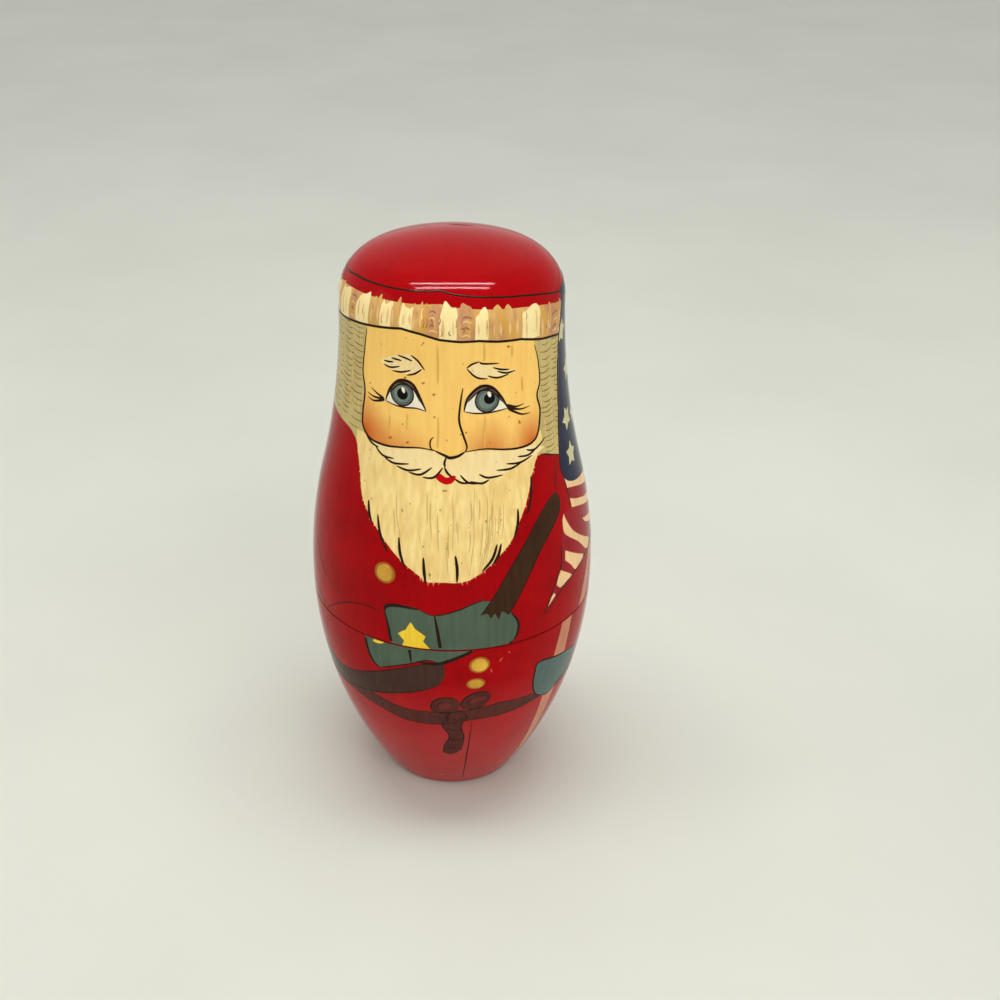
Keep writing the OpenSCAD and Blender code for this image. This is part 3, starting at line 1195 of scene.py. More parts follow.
@dataclass
class Coat(Motif):
    """Lines, buttons and belt on the red coat."""

    buttons: tuple[tuple[Point, float, float], ...] = (
        ((-27.1, 76.8), 2.7, 2.6), ((23.4, 52), 2.5, 2.4), ((22.2, 45.9), 2.3, 1.7),
    )
    rim_share: float = 1.06
    dab_share: float = 0.86
    folds: tuple[Line, ...] = (
        ((-61.3, 57.9), (-47, 63.9), (-36, 66), (-26.7, 65.7)), ((-72, 74), (-60, 67.5), (-46, 64.5)),
        ((-78, 62), (-66, 59.5), (-57, 57.5)), ((21.6, 31.7), (20.8, 18), (20.6, 3)),
        ((180, 106), (180.6, 84), (180, 58)), ((180, 56), (179.6, 30), (180, 3)),
        ((-120, 96), (-112, 80), (-108, 62)), ((138, 92), (142, 78), (146, 62)),
        ((-150, 30), (-148, 18), (-149, 6)), ((150, 30), (148, 18), (149, 6)),
        ((55.4, 101.7), (53.2, 98.3), (51.7, 96.1), (50.7, 93.6)),
    )
    scratches: tuple[Line, ...] = (
        ((31.5, 52), (32.2, 52.8), (33, 53.2)), ((35, 54.6), (35.6, 54.5), (36, 54.2)),
        ((28, 50.2), (28.4, 49.6), (28.6, 49)), ((-38, 12), (-36, 12.6), (-34.5, 12.4)),
        ((44, 8), (45.5, 8.8), (47, 8.7)), ((3, 5), (5, 5.6), (6.5, 5.4)),
    )
    belt_top: Line = (
        (-180, 38.4), (-60, 38.4), (-36, 37.9), (-23.2, 37.5), (-14.3, 36), (-5.9, 35.4), (1.3, 35.6),
        (14, 36), (23.8, 36.8), (32.5, 37.8), (42.2, 37.2), (52, 36.6), (90, 38), (180, 38.4),
    )
    belt_low: Line = (
        (-180, 34.8), (-60, 35.2), (-37.2, 34.6), (-29.5, 33.9), (-19.4, 32.6), (-10.7, 31.1), (-1.1, 30.7),
        (7.9, 31), (14, 31.8), (22.4, 32.7), (33.5, 32.8), (43.5, 33.2), (52, 34), (90, 34.6), (180, 34.8),
    )
    loops: tuple[tuple[Point, float, float, float], ...] = (
        ((9.6, 38.2), 3.9, 3.0, 18.0), ((22.6, 39.7), 4.1, 2.8, 28.0),
    )
    loop_light: tuple[tuple[Point, float, float, float], ...] = (
        ((9.4, 38.0), 1.9, 1.1, 15.0), ((23.6, 40.0), 2.2, 0.9, 15.0),
    )
    loop_arc: tuple[int, int] = (1, 15)
    curl_arc: tuple[int, int] = (6, 16)
    curl_share: Point = (0.55, 0.5)
    knot: Line = ((8, 34), (11, 36.8), (16, 37), (20, 35.5), (18, 32), (13, 31.4))
    tail: tuple[Line, ...] = (
        ((11.5, 34), (8.1, 30.6), (11.2, 26.1), (8.6, 21.9), (7.6, 18.6)),
        ((7.6, 18.6), (10.5, 17.6), (13.7, 17.8), (17.3, 19.5)),
        ((17.3, 19.5), (18.4, 25.1), (16.9, 29.5), (18, 34)),
    )
    turns: tuple[Line, ...] = (
        ((12, 36), (10, 33.4), (11, 31.6)), ((17.5, 35.6), (19, 33.8), (18, 32)),
        ((5, 36.4), (8, 35.4), (13, 35.8)), ((19, 37), (23, 36.8), (27, 38)),
        ((13, 33.4), (15, 32.6), (17, 33.6)), ((10, 29.6), (13, 28.4), (16.6, 29)),
        ((11.4, 25.2), (14, 24.2), (17.8, 25)), ((9.6, 21.2), (12, 20.4), (16, 21)),
    )

    def patches(self) -> list[Patch]:
        """Paints belt, bow, and the dark rims of the buttons.

        Returns:
            The areas, in order.
        """
        areas = [self.band(Paint.BELT, self.belt_low, self.belt_top), self.fill(Paint.BELT, *self.tail)]
        for centre, wide, tall in self.buttons:
            rim = self.girth.disc(centre, wide * self.rim_share, tall * self.rim_share)
            areas.append(Patch(Paint.GOLD_RIM, rim))
        areas += [Patch(Paint.BELT, self.girth.disc(*loop)) for loop in self.loops]
        areas += [Patch(Paint.BOW_LIGHT, self.girth.disc(*light)) for light in self.loop_light]
        areas.append(self.blob(Paint.BELT, self.knot))
        return areas

    def strokes(self) -> list[Stroke]:
        """Draws folds, edges of the belt, and turns of the bow.

        Returns:
            The brush lines.
        """
        lines = [self.line(fold, 0.36) for fold in self.folds]
        lines += [self.line(scratch, 0.22, Paint.BEARD_EDGE) for scratch in self.scratches]
        lines += [self.round_line(self.belt_top, 0.25), self.round_line(self.belt_low, 0.25)]
        for centre, wide, tall, tilt in self.loops:
            ring = self.girth.disc(centre, wide, tall, tilt)
            lines.append(Stroke(Paint.INK, ring[slice(*self.loop_arc)], 0.5))
            curl = self.girth.disc(centre, wide * self.curl_share[0], tall * self.curl_share[1], tilt)
            lines.append(Stroke(Paint.INK, curl[slice(*self.curl_arc)], 0.3))
        lines += [self.line(turn, 0.36) for turn in self.turns]
        lines.append(self.line(self.tail[0], 0.32))
        lines.append(self.line(self.tail[2], 0.32))
        return lines

    def dabs(self) -> list[Dab]:
        """Gold buttons."""
        share = self.dab_share
        return [Dab(Paint.GOLD, centre, wide * share, tall * share) for centre, wide, tall in self.buttons]


@dataclass
class Parcel(Motif):
    """The green parcel with its star, and the arm's cuff below it."""

    top_edge: Line = (
        (-26.9, 66.4), (-25.8, 67.9), (-20.8, 68.7), (-12.8, 68.5), (-6.7, 67.2), (2.3, 68.8), (7.6, 70.3),
        (12.7, 71), (18.5, 69.6),
    )
    right_edge: Line = (
        (18.5, 69.6), (22.6, 66.9), (26.3, 63.4), (26.4, 60.3), (24.6, 57.8), (20.5, 56.6), (15.6, 55),
        (7.8, 52.8),
    )
    low_edge: Line = ((7.8, 52.8), (2.6, 53.6), (-3.4, 52), (-11, 50), (-18, 48.1))
    knuckle: Line = ((2.6, 52.6), (-1.6, 52.8))
    left_edge: Line = ((-18, 48.1), (-20.7, 49.1), (-23, 52.4), (-24.2, 57), (-25.4, 62), (-26.9, 66.4))
    middle: Line = ((-6.7, 67.2), (-5.4, 62), (-4.4, 57), (-3.8, 52.2))
    star: Line = (
        (-16.1, 64.6), (-14.3, 62.8), (-10.2, 60.9), (-11.2, 59.4), (-8.1, 56.8), (-14, 57.2), (-16, 56.1),
        (-20.3, 55.9), (-18.8, 58.8), (-21.3, 60.6), (-18, 62.2),
    )
    cuff: tuple[Line, ...] = (
        ((-64, 44), (-54, 43.2), (-43.4, 41.4), (-33.1, 42.7), (-20.8, 46), (-8.7, 49.6), (1.9, 52.3),
         (9.4, 52.4)),
        ((9.4, 52.4), (9.6, 49), (7.6, 45.8)),
        ((7.6, 45.8), (1.4, 43.6), (-9.9, 40.9), (-20.1, 38.8), (-31.2, 36.9), (-41.9, 35.9), (-62, 36.4)),
        ((-62, 36.4), (-65, 40), (-64, 44)),
    )

    def patches(self) -> list[Patch]:
        """Paints cuff, parcel and star.

        Returns:
            The areas, in order.
        """
        return [
            self.fill(Paint.CUFF, *self.cuff),
            self.fill(Paint.PARCEL, self.top_edge, self.right_edge, self.low_edge, self.left_edge),
            Patch(Paint.STAR, smooth(self.star, closed=True, steps=2)),
        ]

    def strokes(self) -> list[Stroke]:
        """Draws the edges of the parcel and of the cuff.

        Returns:
            The brush lines.
        """
        return [
            self.line(self.top_edge[:4], 1.0),
            self.line(self.top_edge[3:], 0.4),
            self.line(self.right_edge[:5], 0.75),
            self.line((*self.right_edge[4:], *self.knuckle), 1.05),
            self.line(self.low_edge, 0.4),
            self.line(self.left_edge, 0.85),
            self.line(self.middle, 0.85),
            self.line(self.cuff[0], 0.36),
            self.line(self.cuff[2], 0.36),
        ]


@dataclass
class Strap(Motif):
    """The strap over the shoulder, with a ragged end on the parcel, and its run across the back."""

    front: tuple[Line, ...] = (
        ((50.9, 93.5), (51.4, 88.7), (37, 80.2), (23.9, 67.4), (21.6, 66.2)),
        ((21.6, 66.2), (19.6, 67.2), (18.2, 65.2), (16.6, 67), (15.2, 65.8), (13.6, 67.2), (10.9, 66.9)),
        ((10.9, 66.9), (15.1, 70.6), (25.1, 79.9), (38.9, 89.6), (47.6, 93)),
    )
    back: tuple[Line, ...] = (
        ((118, 99), (140, 92), (165, 80), (188, 64.5), (204, 52), (220, 38.2)),
        ((220, 38.2), (230, 38.2)),
        ((230, 38.2), (213, 53), (196, 66.5), (170, 84), (144, 97), (120, 105)),
    )

    def patches(self) -> list[Patch]:
        """The strap in front and behind."""
        return [self.fill(Paint.STRAP, *self.front), self.fill(Paint.STRAP, *self.back)]

    def strokes(self) -> list[Stroke]:
        """Its edges."""
        return [self.line(run[k], 0.34) for run in (self.front, self.back) for k in (0, 2)]


@dataclass
class Standard(Motif):
    """The starred and striped cloth on its pole."""

    cloth_left: Line = (
        (71.2, 141.4), (69, 134), (66, 128.5), (62.5, 114.6), (58.4, 103), (57, 98.3), (58.5, 95),
    )
    cloth_hem: Line = ((58.5, 95), (59.2, 91), (60.2, 86.8))
    cloth_fold: Line = (
        (53.5, 87), (51.2, 83), (49.4, 79.5), (48.8, 74.2), (44.5, 69.6), (41, 65.3), (37.9, 62.2),
    )
    cloth_low: Line = (
        (37.9, 62.2), (42.3, 64.2), (48, 67), (56, 69), (66.5, 70.6), (75, 71.4), (95, 73.5), (112, 78),
        (127, 84),
    )
    cloth_right: Line = ((127, 84), (128.5, 100), (127, 120), (125, 141.4))
    blue_low: Line = (
        (127, 98), (108, 92.5), (90, 90), (77, 91), (69.2, 91.9), (64.7, 92.7), (60.8, 93.8), (58.5, 95),
    )
    stripes: tuple[tuple[Line, Line], ...] = (
        (((58.7, 95), (64.7, 93), (77, 91.4), (90, 90.4), (108, 93), (127, 98.4)),
         ((127, 94.6), (108, 88.8), (90, 86.6), (80, 88), (74.5, 89.1), (66.7, 90.8), (59.2, 92.3))),
        (((59.6, 89.4), (65.4, 87.8), (71.2, 86.5), (78.2, 85), (95, 83.2), (110, 86), (127, 91.4)),
         ((127, 88.4), (110, 82.8), (95, 80.4), (84, 81.8), (75.9, 83.4), (66.6, 85.5), (60.3, 86.8))),
        (((69, 81.3), (75, 80), (90, 77.8), (108, 80.6), (127, 85.8)),
         ((127, 84), (110, 77.6), (92, 75.2), (80, 77), (72, 79.4))),
        (((53.5, 86.9), (54.7, 84.8), (58.7, 81), (66.3, 77.2), (76.1, 73.5)),
         ((75.5, 71.6), (70.6, 72), (62.5, 76.7), (54.2, 80.7), (52, 82.6), (52.1, 85.5))),
        (((51.8, 77.3), (58.9, 74.5), (66.8, 71.7)), ((66, 70.7), (59.4, 69.7), (55.2, 72.4), (51.4, 74.7))),
        (((47.7, 73), (51.6, 71.3), (55.7, 69.4)), ((55.4, 69), (51.7, 68.6), (47.8, 68), (45.5, 69.4))),
        (((43.9, 67.5), (44.9, 66.6)), ((40.7, 64.3), (42.3, 66.4))),
    )
    stars: Line = (
        (71, 131), (80, 119.6), (71, 108.2), (69.6, 99), (84, 107), (94, 128), (98, 114), (97, 98),
        (110, 121), (112, 106), (122, 131), (122, 112), (84, 137),
    )
    star_r: float = 3.2
    star_waist: float = 0.56
    star_tilts: tuple[float, ...] = (-10.0, 4.0, 18.0)
    top_fold: Point = (98, 141.8)
    pole_low: tuple[Line, ...] = (
        ((62.9, 57.4), (60.4, 50.8), (58.8, 42), (58.3, 33), (58.5, 24), (59.5, 12), (60.5, 0)),
        ((60.5, 0), (68.5, 0)),
        ((68.5, 0), (67.4, 12), (66.6, 24), (66.8, 33), (67.2, 44), (68.6, 51), (69.8, 57.4)),
    )
    pole_high: tuple[Line, ...] = (
        ((62.9, 56.6), (65.5, 61), (70, 66.5), (76, 72.5)),
        ((76, 72.5), (84, 73)),
        ((84, 73), (77.5, 67), (72.6, 61.5), (69.8, 56.6)),
    )

    def patches(self) -> list[Patch]:
        """Paints cloth, stripes, stars and pole.

        Returns:
            The areas, in order.
        """
        outline = (self.cloth_left, self.cloth_hem, self.cloth_fold, self.cloth_low, self.cloth_right)
        areas = [self.fill(Paint.POLE, *self.pole_high), self.fill(Paint.CLOTH_RED, *outline)]
        areas += [self.fill(Paint.CLOTH_CREAM, *stripe) for stripe in self.stripes]
        right = (self.blue_low[0], *self.cloth_right[1:])
        areas.append(self.fill(Paint.CLOTH_BLUE, self.cloth_left, self.blue_low[::-1], right))
        for k, centre in enumerate(self.stars):
            tilt = self.star_tilts[k % len(self.star_tilts)]
            star = self.girth.star(centre, self.star_r, tilt, self.star_waist)
            areas.append(Patch(Paint.CLOTH_STAR, smooth(star, closed=True, steps=2)))
        areas.append(self.fill(Paint.POLE, *self.pole_low))
        return areas

    def strokes(self) -> list[Stroke]:
        """Draws the edges of the cloth and of the pole.

        Returns:
            The brush lines.
        """
        return [
            self.line(self.cloth_left, 0.8),
            self.line(self.cloth_hem, 0.5),
            self.line(self.cloth_fold[2:], 0.5),
            self.line(self.cloth_low, 0.6),
            self.line(self.cloth_right, 0.5),
            self.line((self.cloth_left[0], self.top_fold, self.cloth_right[-1]), 0.5),
            self.line(self.pole_low[0], 0.25),
            self.line(self.pole_low[2], 0.25),
            self.line(self.pole_high[0], 0.25),
        ]


@dataclass
class Mitten(Motif):
    """The mitten that holds the pole."""

    outline: Line = (
        (50.8, 47.7), (60.6, 46.4), (74.7, 44.4), (80.7, 42.3), (79, 38.6), (74.8, 36.8), (68.5, 35),
        (62.1, 32.9), (53.8, 35.2), (49.8, 39.4), (49.2, 44.4),
    )

    def patches(self) -> list[Patch]:
        """The mitten."""
        return [self.blob(Paint.MITTEN, self.outline)]

    def strokes(self) -> list[Stroke]:
        """Draws its dark upper edge and its fine lower edge.

        Returns:
            The brush lines.
        """
        return [
            self.line((*self.outline[-4:], *self.outline[:4]), 0.62),
            self.line(self.outline[3:9], 0.3),
        ]


class Cover:
    """A painted area, which hides what was laid before it."""

    def __init__(self, outline: Sequence[Point]) -> None:
        """Takes the outline and its box.

        Args:
            outline: points along the area's edge.
        """
        self.edges = list(zip(outline, [*outline[1:], outline[0]]))
        self.left, self.right = min(a for a, _ in outline), max(a for a, _ in outline)
        self.low, self.high = min(h for _, h in outline), max(h for _, h in outline)

    def hides(self, point: Point) -> bool:
        """Whether a point lies inside the area, on any turn round the doll.

        Args:
            point: its angle and height.

        Returns:
            True if it does.
        """
        if not self.low < point[1] < self.high:
            return False
        return any(self.holds(point[0] + turn, point[1]) for turn in (-360.0, 0.0, 360.0))

    def holds(self, across: float, height: float) -> bool:
        """Whether the outline winds round a point.

        Args:
            across: where the point lies across.
            height: where it lies up the area.

        Returns:
            True if it does.
        """
        if not self.left < across < self.right:
            return False
        winding = 0
        for (a0, h0), (a1, h1) in self.edges:
            if (h0 > height) != (h1 > height) and across < a0 + (a1 - a0) * (height - h0) / (h1 - h0):
                winding += 1 if h1 > h0 else -1
        return winding != 0


class Figure:
    """The whole painting, in the order in which it is laid on."""

    def __init__(self, girth: Girth, seed: int, detail: float) -> None:
        """Lays out the motifs, each over the brush lines of those before it.

        Args:
            girth: size of the figure at each height.
            seed: what makes its loose strokes its own.
            detail: share of the loose strokes that it has.
        """
        order = (Coat, Hair, Whiskers, Face, Parcel, Strap, Headgear, Standard, Mitten)
        motifs: list[Motif] = [kind(girth, seed, detail) for kind in order]
        laid = [motif.patches() for motif in motifs]
        self.patches: list[Patch] = [patch for patches in laid for patch in patches]
        self.dabs: list[Dab] = [dab for motif in motifs for dab in motif.dabs()]
        self.strokes: list[Stroke] = []
        for k, motif in enumerate(motifs):
            covers = [Cover(patch.outline) for patches in laid[k + 1 :] for patch in patches]
            for stroke in motif.strokes():
                self.strokes += self._bare(stroke, covers)

    @staticmethod
    def _bare(stroke: Stroke, covers: Sequence[Cover]) -> list[Stroke]:
        """Cuts a stroke where later areas cover it.

        Args:
            stroke: the stroke.
            covers: the later areas.

        Returns:
            The stretches that stay bare.
        """
        runs: list[list[Point]] = [[]]
        for point in stroke.points:
            if not any(cover.hides(point) for cover in covers):
                runs[-1].append(point)
            elif runs[-1]:
                runs.append([])
        return [replace(stroke, points=run) for run in runs if len(run) > 1]


class Chart:
    """The painted outside of one turned piece, rolled flat."""

    def __init__(self, turning: Turning, stand: float, tall: float, turn: float) -> None:
        """Measures the outside.

        Args:
            turning: the turned piece.
            stand: height at which its doll stands.
            tall: height of its doll.
            turn: degrees that its painting is turned by.
        """
        side = turning.side()
        self.stand, self.tall, self.turn = stand, tall, turn
        self.radii = [r for r, _ in side]
        self.heights = [z for _, z in side]
        self.rows = [0.0]
        for a, b in zip(side, side[1:]):
            self.rows.append(self.rows[-1] + math.dist(a, b) / MM)
        ks = range(turning.first, turning.last + 1)
        self.facings = [turning.facing(k, min(k, turning.last - 1)) for k in ks]
        if self.closed_top:
            self.facings[-1] = (0.0, 1.0)
        self.pitch = math.radians(sum(self.radii) / len(self.radii)) / MM

    @property
    def end(self) -> float:
        """Length of the outside from its lower to its upper edge."""
        return self.rows[-1]

    @property
    def closed_top(self) -> bool:
        """Whether the outside ends on the axis."""
        return self.radii[-1] < Turning.same

    def flat(self, point: Point) -> Point:
        """Rolls a point of the figure flat.

        Args:
            point: its angle and height.

        Returns:
            Its place on the chart, in millimetres.
        """
        z = self.stand + point[1] / FIGURE_H * self.tall
        k = min(max(bisect_right(self.heights, z), 1), len(self.rows) - 1)
        z0, z1 = self.heights[k - 1], self.heights[k]
        along = self.rows[k - 1] + (self.rows[k] - self.rows[k - 1]) * (z - z0) / (z1 - z0)
        if z < self.heights[0]:
            along = (z - self.heights[0]) / MM
        if z > self.heights[-1]:
            along = self.end + (z - self.heights[-1]) / MM
        return (point[0] + self.turn) * self.pitch, along

    def spot(self, flat: Point) -> tuple[Vector, Vector]:
        """Place of a flat point on the piece.

        Args:
            flat: point on the flat chart.

        Returns:
            Its place and the outward direction there.
        """
        angle, along = math.radians(flat[0] / self.pitch), min(max(flat[1], 0.0), self.end)
        k = min(max(bisect_right(self.rows, along), 1), len(self.rows) - 1)
        t = (along - self.rows[k - 1]) / (self.rows[k] - self.rows[k - 1])
        radius = self.radii[k - 1] * (1 - t) + self.radii[k] * t
        z = self.heights[k - 1] * (1 - t) + self.heights[k] * t
        out, up = (a * (1 - t) + b * t for a, b in zip(self.facings[k - 1], self.facings[k]))
        return around(angle, radius, z), around(angle, out, up).normalized()

    def unit(self, flat: Point) -> Point:
        """A flat point as shares of a full turn and of the doll's height, for patterns on the chart."""
        place, _ = self.spot(flat)
        return (flat[0] / self.pitch - self.turn) / 360.0 + 0.5, (place.z - self.stand) / self.tall


class MeshPlan:
    """Corners, faces, finishes, chart places and normals of a mesh that is being laid out."""

    def __init__(self) -> None:
        """Starts empty."""
        self.corners: list[Vector] = []
        self.faces: list[tuple[int, ...]] = []
        self.paints: list[Paint] = []
        self.units: list[Point] = []
        self.normals: list[Vector] = []

    def corner(self, place: Vector) -> int:
        """Adds a corner and gives its number."""
        self.corners.append(place)
        return len(self.corners) - 1

    def face(
        self,
        corners: Sequence[int],
        paint: Paint,
        units: Sequence[Point],
        normals: Sequence[Vector],
    ) -> None:
        """Adds a face, unless two of its corners are one.

        Args:
            corners: numbers of its corners.
            paint: its paint.
            units: chart place of each corner.
            normals: outward direction at each corner.
        """
        if len(set(corners)) == len(corners):
            self.faces.append(tuple(corners))
            self.paints.append(paint)
            self.units.extend(units)
            self.normals.extend(normals)

    def build(self, name: str, box: PaintBox) -> bpy.types.Object:
        """Makes the object.

        Args:
            name: name of the piece.
            box: where its materials come from.

        Returns:
            The object, linked to the scene.
        """
        mesh = bpy.data.meshes.new(name)
        mesh.from_pydata(self.corners, [], self.faces)
        used = list(dict.fromkeys(self.paints))
        for paint in used:
            mesh.materials.append(box[paint])
        place = {paint: k for k, paint in enumerate(used)}
        mesh.polygons.foreach_set("material_index", [place[paint] for paint in self.paints])
        chart = mesh.uv_layers.new(name=CHART_MAP)
        chart.uv.foreach_set("vector", [value for unit in self.units for value in unit])
        mesh.shade_smooth()
        mesh.normals_split_custom_set(self.normals)
        mesh.update()
        return placed(name, mesh)


@dataclass
class PaintedWood:
    """One turned piece of wood with its painted outside and its bare inside."""

    turning: Turning
    chart: Chart
    figure: Figure
    columns: int
    near: float = 0.003
    reach: float = 1.5
    thinned: int = 3

    def build(self, box: PaintBox) -> bpy.types.Object:
        """Makes the piece as one closed mesh.

        Args:
            box: where its materials come from.

        Returns:
            The object.
        """
        plan = MeshPlan()
        low, high = self._outside(plan)
        path = self.turning.path
        self._turned(plan, low, list(range(self.turning.first, -1, -1)))
        if not self.chart.closed_top:
            self._turned(plan, high, list(range(self.turning.last, len(path))))
        return plan.build(self.turning.node + "_painted", box)

    def _areas(self) -> tuple[list[Paint], list[list[Point]]]:
        """Finds the areas that reach this piece, after the bare coat.

        Returns:
            Paint and flat outline of each.
        """
        half = 180.0 * self.chart.pitch
        paints = [Paint.COAT]
        outlines = [[(-half, 0.0), (half, 0.0), (half, self.chart.end), (-half, self.chart.end)]]
        for patch in self.figure.patches:
            edge = [self.chart.flat(point) for point in patch.outline]
            flat = short_steps([*edge, edge[0]], self.reach)[:-1]
            if max(y for _, y in flat) < 0.0 or min(y for _, y in flat) > self.chart.end:
                continue
            area = sum(a[0] * b[1] - b[0] * a[1] for a, b in zip(flat, flat[1:] + flat[:1]))
            flat = flat if area > 0 else flat[::-1]
            low, high = min(x for x, _ in flat), max(x for x, _ in flat)
            for shift in (-2 * half, 0.0, 2 * half) if high - low < 2 * half else (0.0,):
                if low + shift < half and high + shift > -half:
                    paints.append(patch.paint)
                    outlines.append([(x + shift, y) for x, y in flat])
        return paints, outlines

    def _outside(self, plan: MeshPlan) -> tuple[list[tuple[float, int]], list[tuple[float, int]]]:
        """Lays out the painted outside.

        Args:
            plan: mesh that it goes into.

        Returns:
            Angle and corner along its lower edge, and along its upper edge.
        """
        half = 180.0 * self.chart.pitch
        paints, outlines = self._areas()
        spots = [Vector(point) for outline in outlines for point in outline]
        faces, start = [], 0
        for outline in outlines:
            faces.append(list(range(start, start + len(outline))))
            start += len(outline)
        steps = [-half + 2 * half * k / self.columns for k in range(self.columns + 1)]
        spots += [Vector((x, y)) for y in self.chart.rows for x in steps]
        flat, _, triangles, _, _, sources = delaunay_2d_cdt(spots, [], faces, 1, self.near / 10, True)
        inner = [(triangle, source) for triangle, source in zip(triangles, sources) if 0 in source]
        used = sorted({k for triangle, _ in inner for k in triangle})
        numbers = self._corners(plan, flat, used, half)
        covers = [Cover(outline) for outline in outlines]
        for triangle, source in inner:
            looks = [self.chart.spot(flat[k]) for k in triangle]
            units = [self.chart.unit(flat[k]) for k in triangle]
            middle = sum((flat[k] for k in triangle), Vector((0.0, 0.0))) / 3
            last = max(k for k in source if k == 0 or covers[k].holds(middle.x, middle.y))
            plan.face([numbers[k] for k in triangle], paints[last], units, [n for _, n in looks])
        round_once = [k for k in numbers if flat[k].x < half - self.near]
        low = [k for k in round_once if flat[k].y < self.near]
        high = [k for k in round_once if flat[k].y > self.chart.end - self.near]
        rings = [sorted((flat[k].x / self.chart.pitch, numbers[k]) for k in ks) for ks in (low, high)]
        return rings[0], rings[1]

    def _corners(
        self,
        plan: MeshPlan,
        flat: Sequence[Vector],
        used: Sequence[int],
        half: float,
    ) -> dict[int, int]:
        """Corner of each flat point, with the two ends of the chart joined and the crown closed.

        Args:
            plan: mesh that the corners go into.
            flat: points of the flat chart.
            used: those that are corners of a face.
            half: half the chart's width.

        Returns:
            Number of the corner for each point in use.
        """
        numbers: dict[int, int] = {}
        crown = None
        for k in used:
            if self.chart.closed_top and flat[k].y > self.chart.end - self.near:
                crown = plan.corner(self.chart.spot(flat[k])[0]) if crown is None else crown
                numbers[k] = crown
            elif flat[k].x < half - self.near:
                numbers[k] = plan.corner(self.chart.spot(flat[k])[0])
        left = sorted((flat[k].y, numbers[k]) for k in used if flat[k].x < self.near - half)
        for k in used:
            if k not in numbers:
                numbers[k] = min(left, key=lambda end, y=flat[k].y: abs(end[0] - y))[1]
        return numbers

    def _turned(self, plan: MeshPlan, ring: list[tuple[float, int]], ks: list[int]) -> None:
        """Lays out the bare surfaces beyond one edge of the outside, down to the axis.

        Args:
            plan: mesh that they go into.
            ring: angle and corner along the edge.
            ks: points of the profile from the edge to the axis.
        """
        turning, path = self.turning, self.turning.path
        step = 1 if ks[-1] > ks[0] else -1
        kept = [k for j, k in enumerate(ks) if turning.bend(k) > turning.sharp or j % self.thinned == 0]
        angles = [math.radians(angle) for angle, _ in ring]
        before = [corner for _, corner in ring]
        count = len(ring)
        for place, (k0, k1) in enumerate(zip(kept, kept[1:])):
            # the bevel next to the painted outside, at the seam or the base edge, is painted darker as
            # painted shade in the groove
            paint = Paint.SEAM if place == 0 else Paint.WOOD
            radius, z = path[k1]
            if radius < turning.same:
                after = [plan.corner(Vector((0.0, 0.0, z)))] * count
            else:
                after = [plan.corner(around(angle, radius, z)) for angle in angles]
            first = turning.facing(k0, min(k0, k0 + step))
            second = turning.facing(k1, min(k1 - step, k1))
            for i in range(count):
                j = (i + 1) % count
                sides = [(before[i], i, first), (before[j], j, first)]
                sides += [(after[j], j, second), (after[i], i, second)]
                if after[i] == after[j]:
                    sides.pop()
                sides = sides if step > 0 else sides[::-1]
                normals = [around(angles[m], *facing) for _, m, facing in sides]
                units = [(0.5 + angles[m] / math.tau, path[k1][1] - path[k0][1]) for _, m, _ in sides]
                plan.face([corner for corner, _, _ in sides], paint, units, normals)
            before = after


class NodesTool:
    """A tree of geometry nodes that turns guide points into a plain mesh."""

    def __init__(self, name: str, sizes: dict[str, str]) -> None:
        """Starts the tree with its named inputs.

        Args:
            name: name of the tree.
            sizes: kind of socket for each named input after the geometry.
        """
        self.tree = bpy.data.node_groups.new(name, "GeometryNodeTree")
        face = self.tree.interface
        face.new_socket("Guides", in_out="INPUT", socket_type="NodeSocketGeometry")
        self.sockets: dict[str, str] = {}
        for label, kind in sizes.items():
            self.sockets[label] = face.new_socket(label, in_out="INPUT", socket_type=kind).identifier
        face.new_socket("Paint", in_out="OUTPUT", socket_type="NodeSocketGeometry")
        self.desk = Desk(self.tree)
        self.given = self.desk.add("NodeGroupInput").outputs

    def close(self, geometry: Socket) -> None:
        """Ends the tree with plain geometry in its material.

        Args:
            geometry: what the tree has made.
        """
        desk = self.desk
        soft = desk.add("GeometryNodeSetShadeSmooth", {"Geometry": geometry}).outputs["Geometry"]
        real = desk.add("GeometryNodeRealizeInstances", {"Geometry": soft}).outputs["Geometry"]
        dressed = desk.add("GeometryNodeSetMaterial", {"Geometry": real, "Material": self.given["Material"]})
        desk.add("NodeGroupOutput", {"Paint": dressed.outputs["Geometry"]})

    def attribute(self, name: str, kind: str) -> Socket:
        """A named value of the guide points."""
        node = self.desk.add("GeometryNodeInputNamedAttribute", {"Name": name}, data_type=kind)
        return node.outputs["Attribute"]

    def run(self, guides: bpy.types.Mesh, values: dict[str, object]) -> bpy.types.Mesh:
        """Runs the tree.

        Args:
            guides: mesh of guide points.
            values: value of each named input.

        Returns:
            A plain mesh.
        """
        holder = placed("guides", guides)
        modifier = holder.modifiers.new(self.tree.name, "NODES")
        modifier.node_group = self.tree
        for label, value in values.items():
            modifier[self.sockets[label]] = value
        graph = bpy.context.evaluated_depsgraph_get()
        mesh = bpy.data.meshes.new_from_object(holder.evaluated_get(graph))
        holder.modifiers.clear()
        bpy.data.objects.remove(holder)
        return mesh


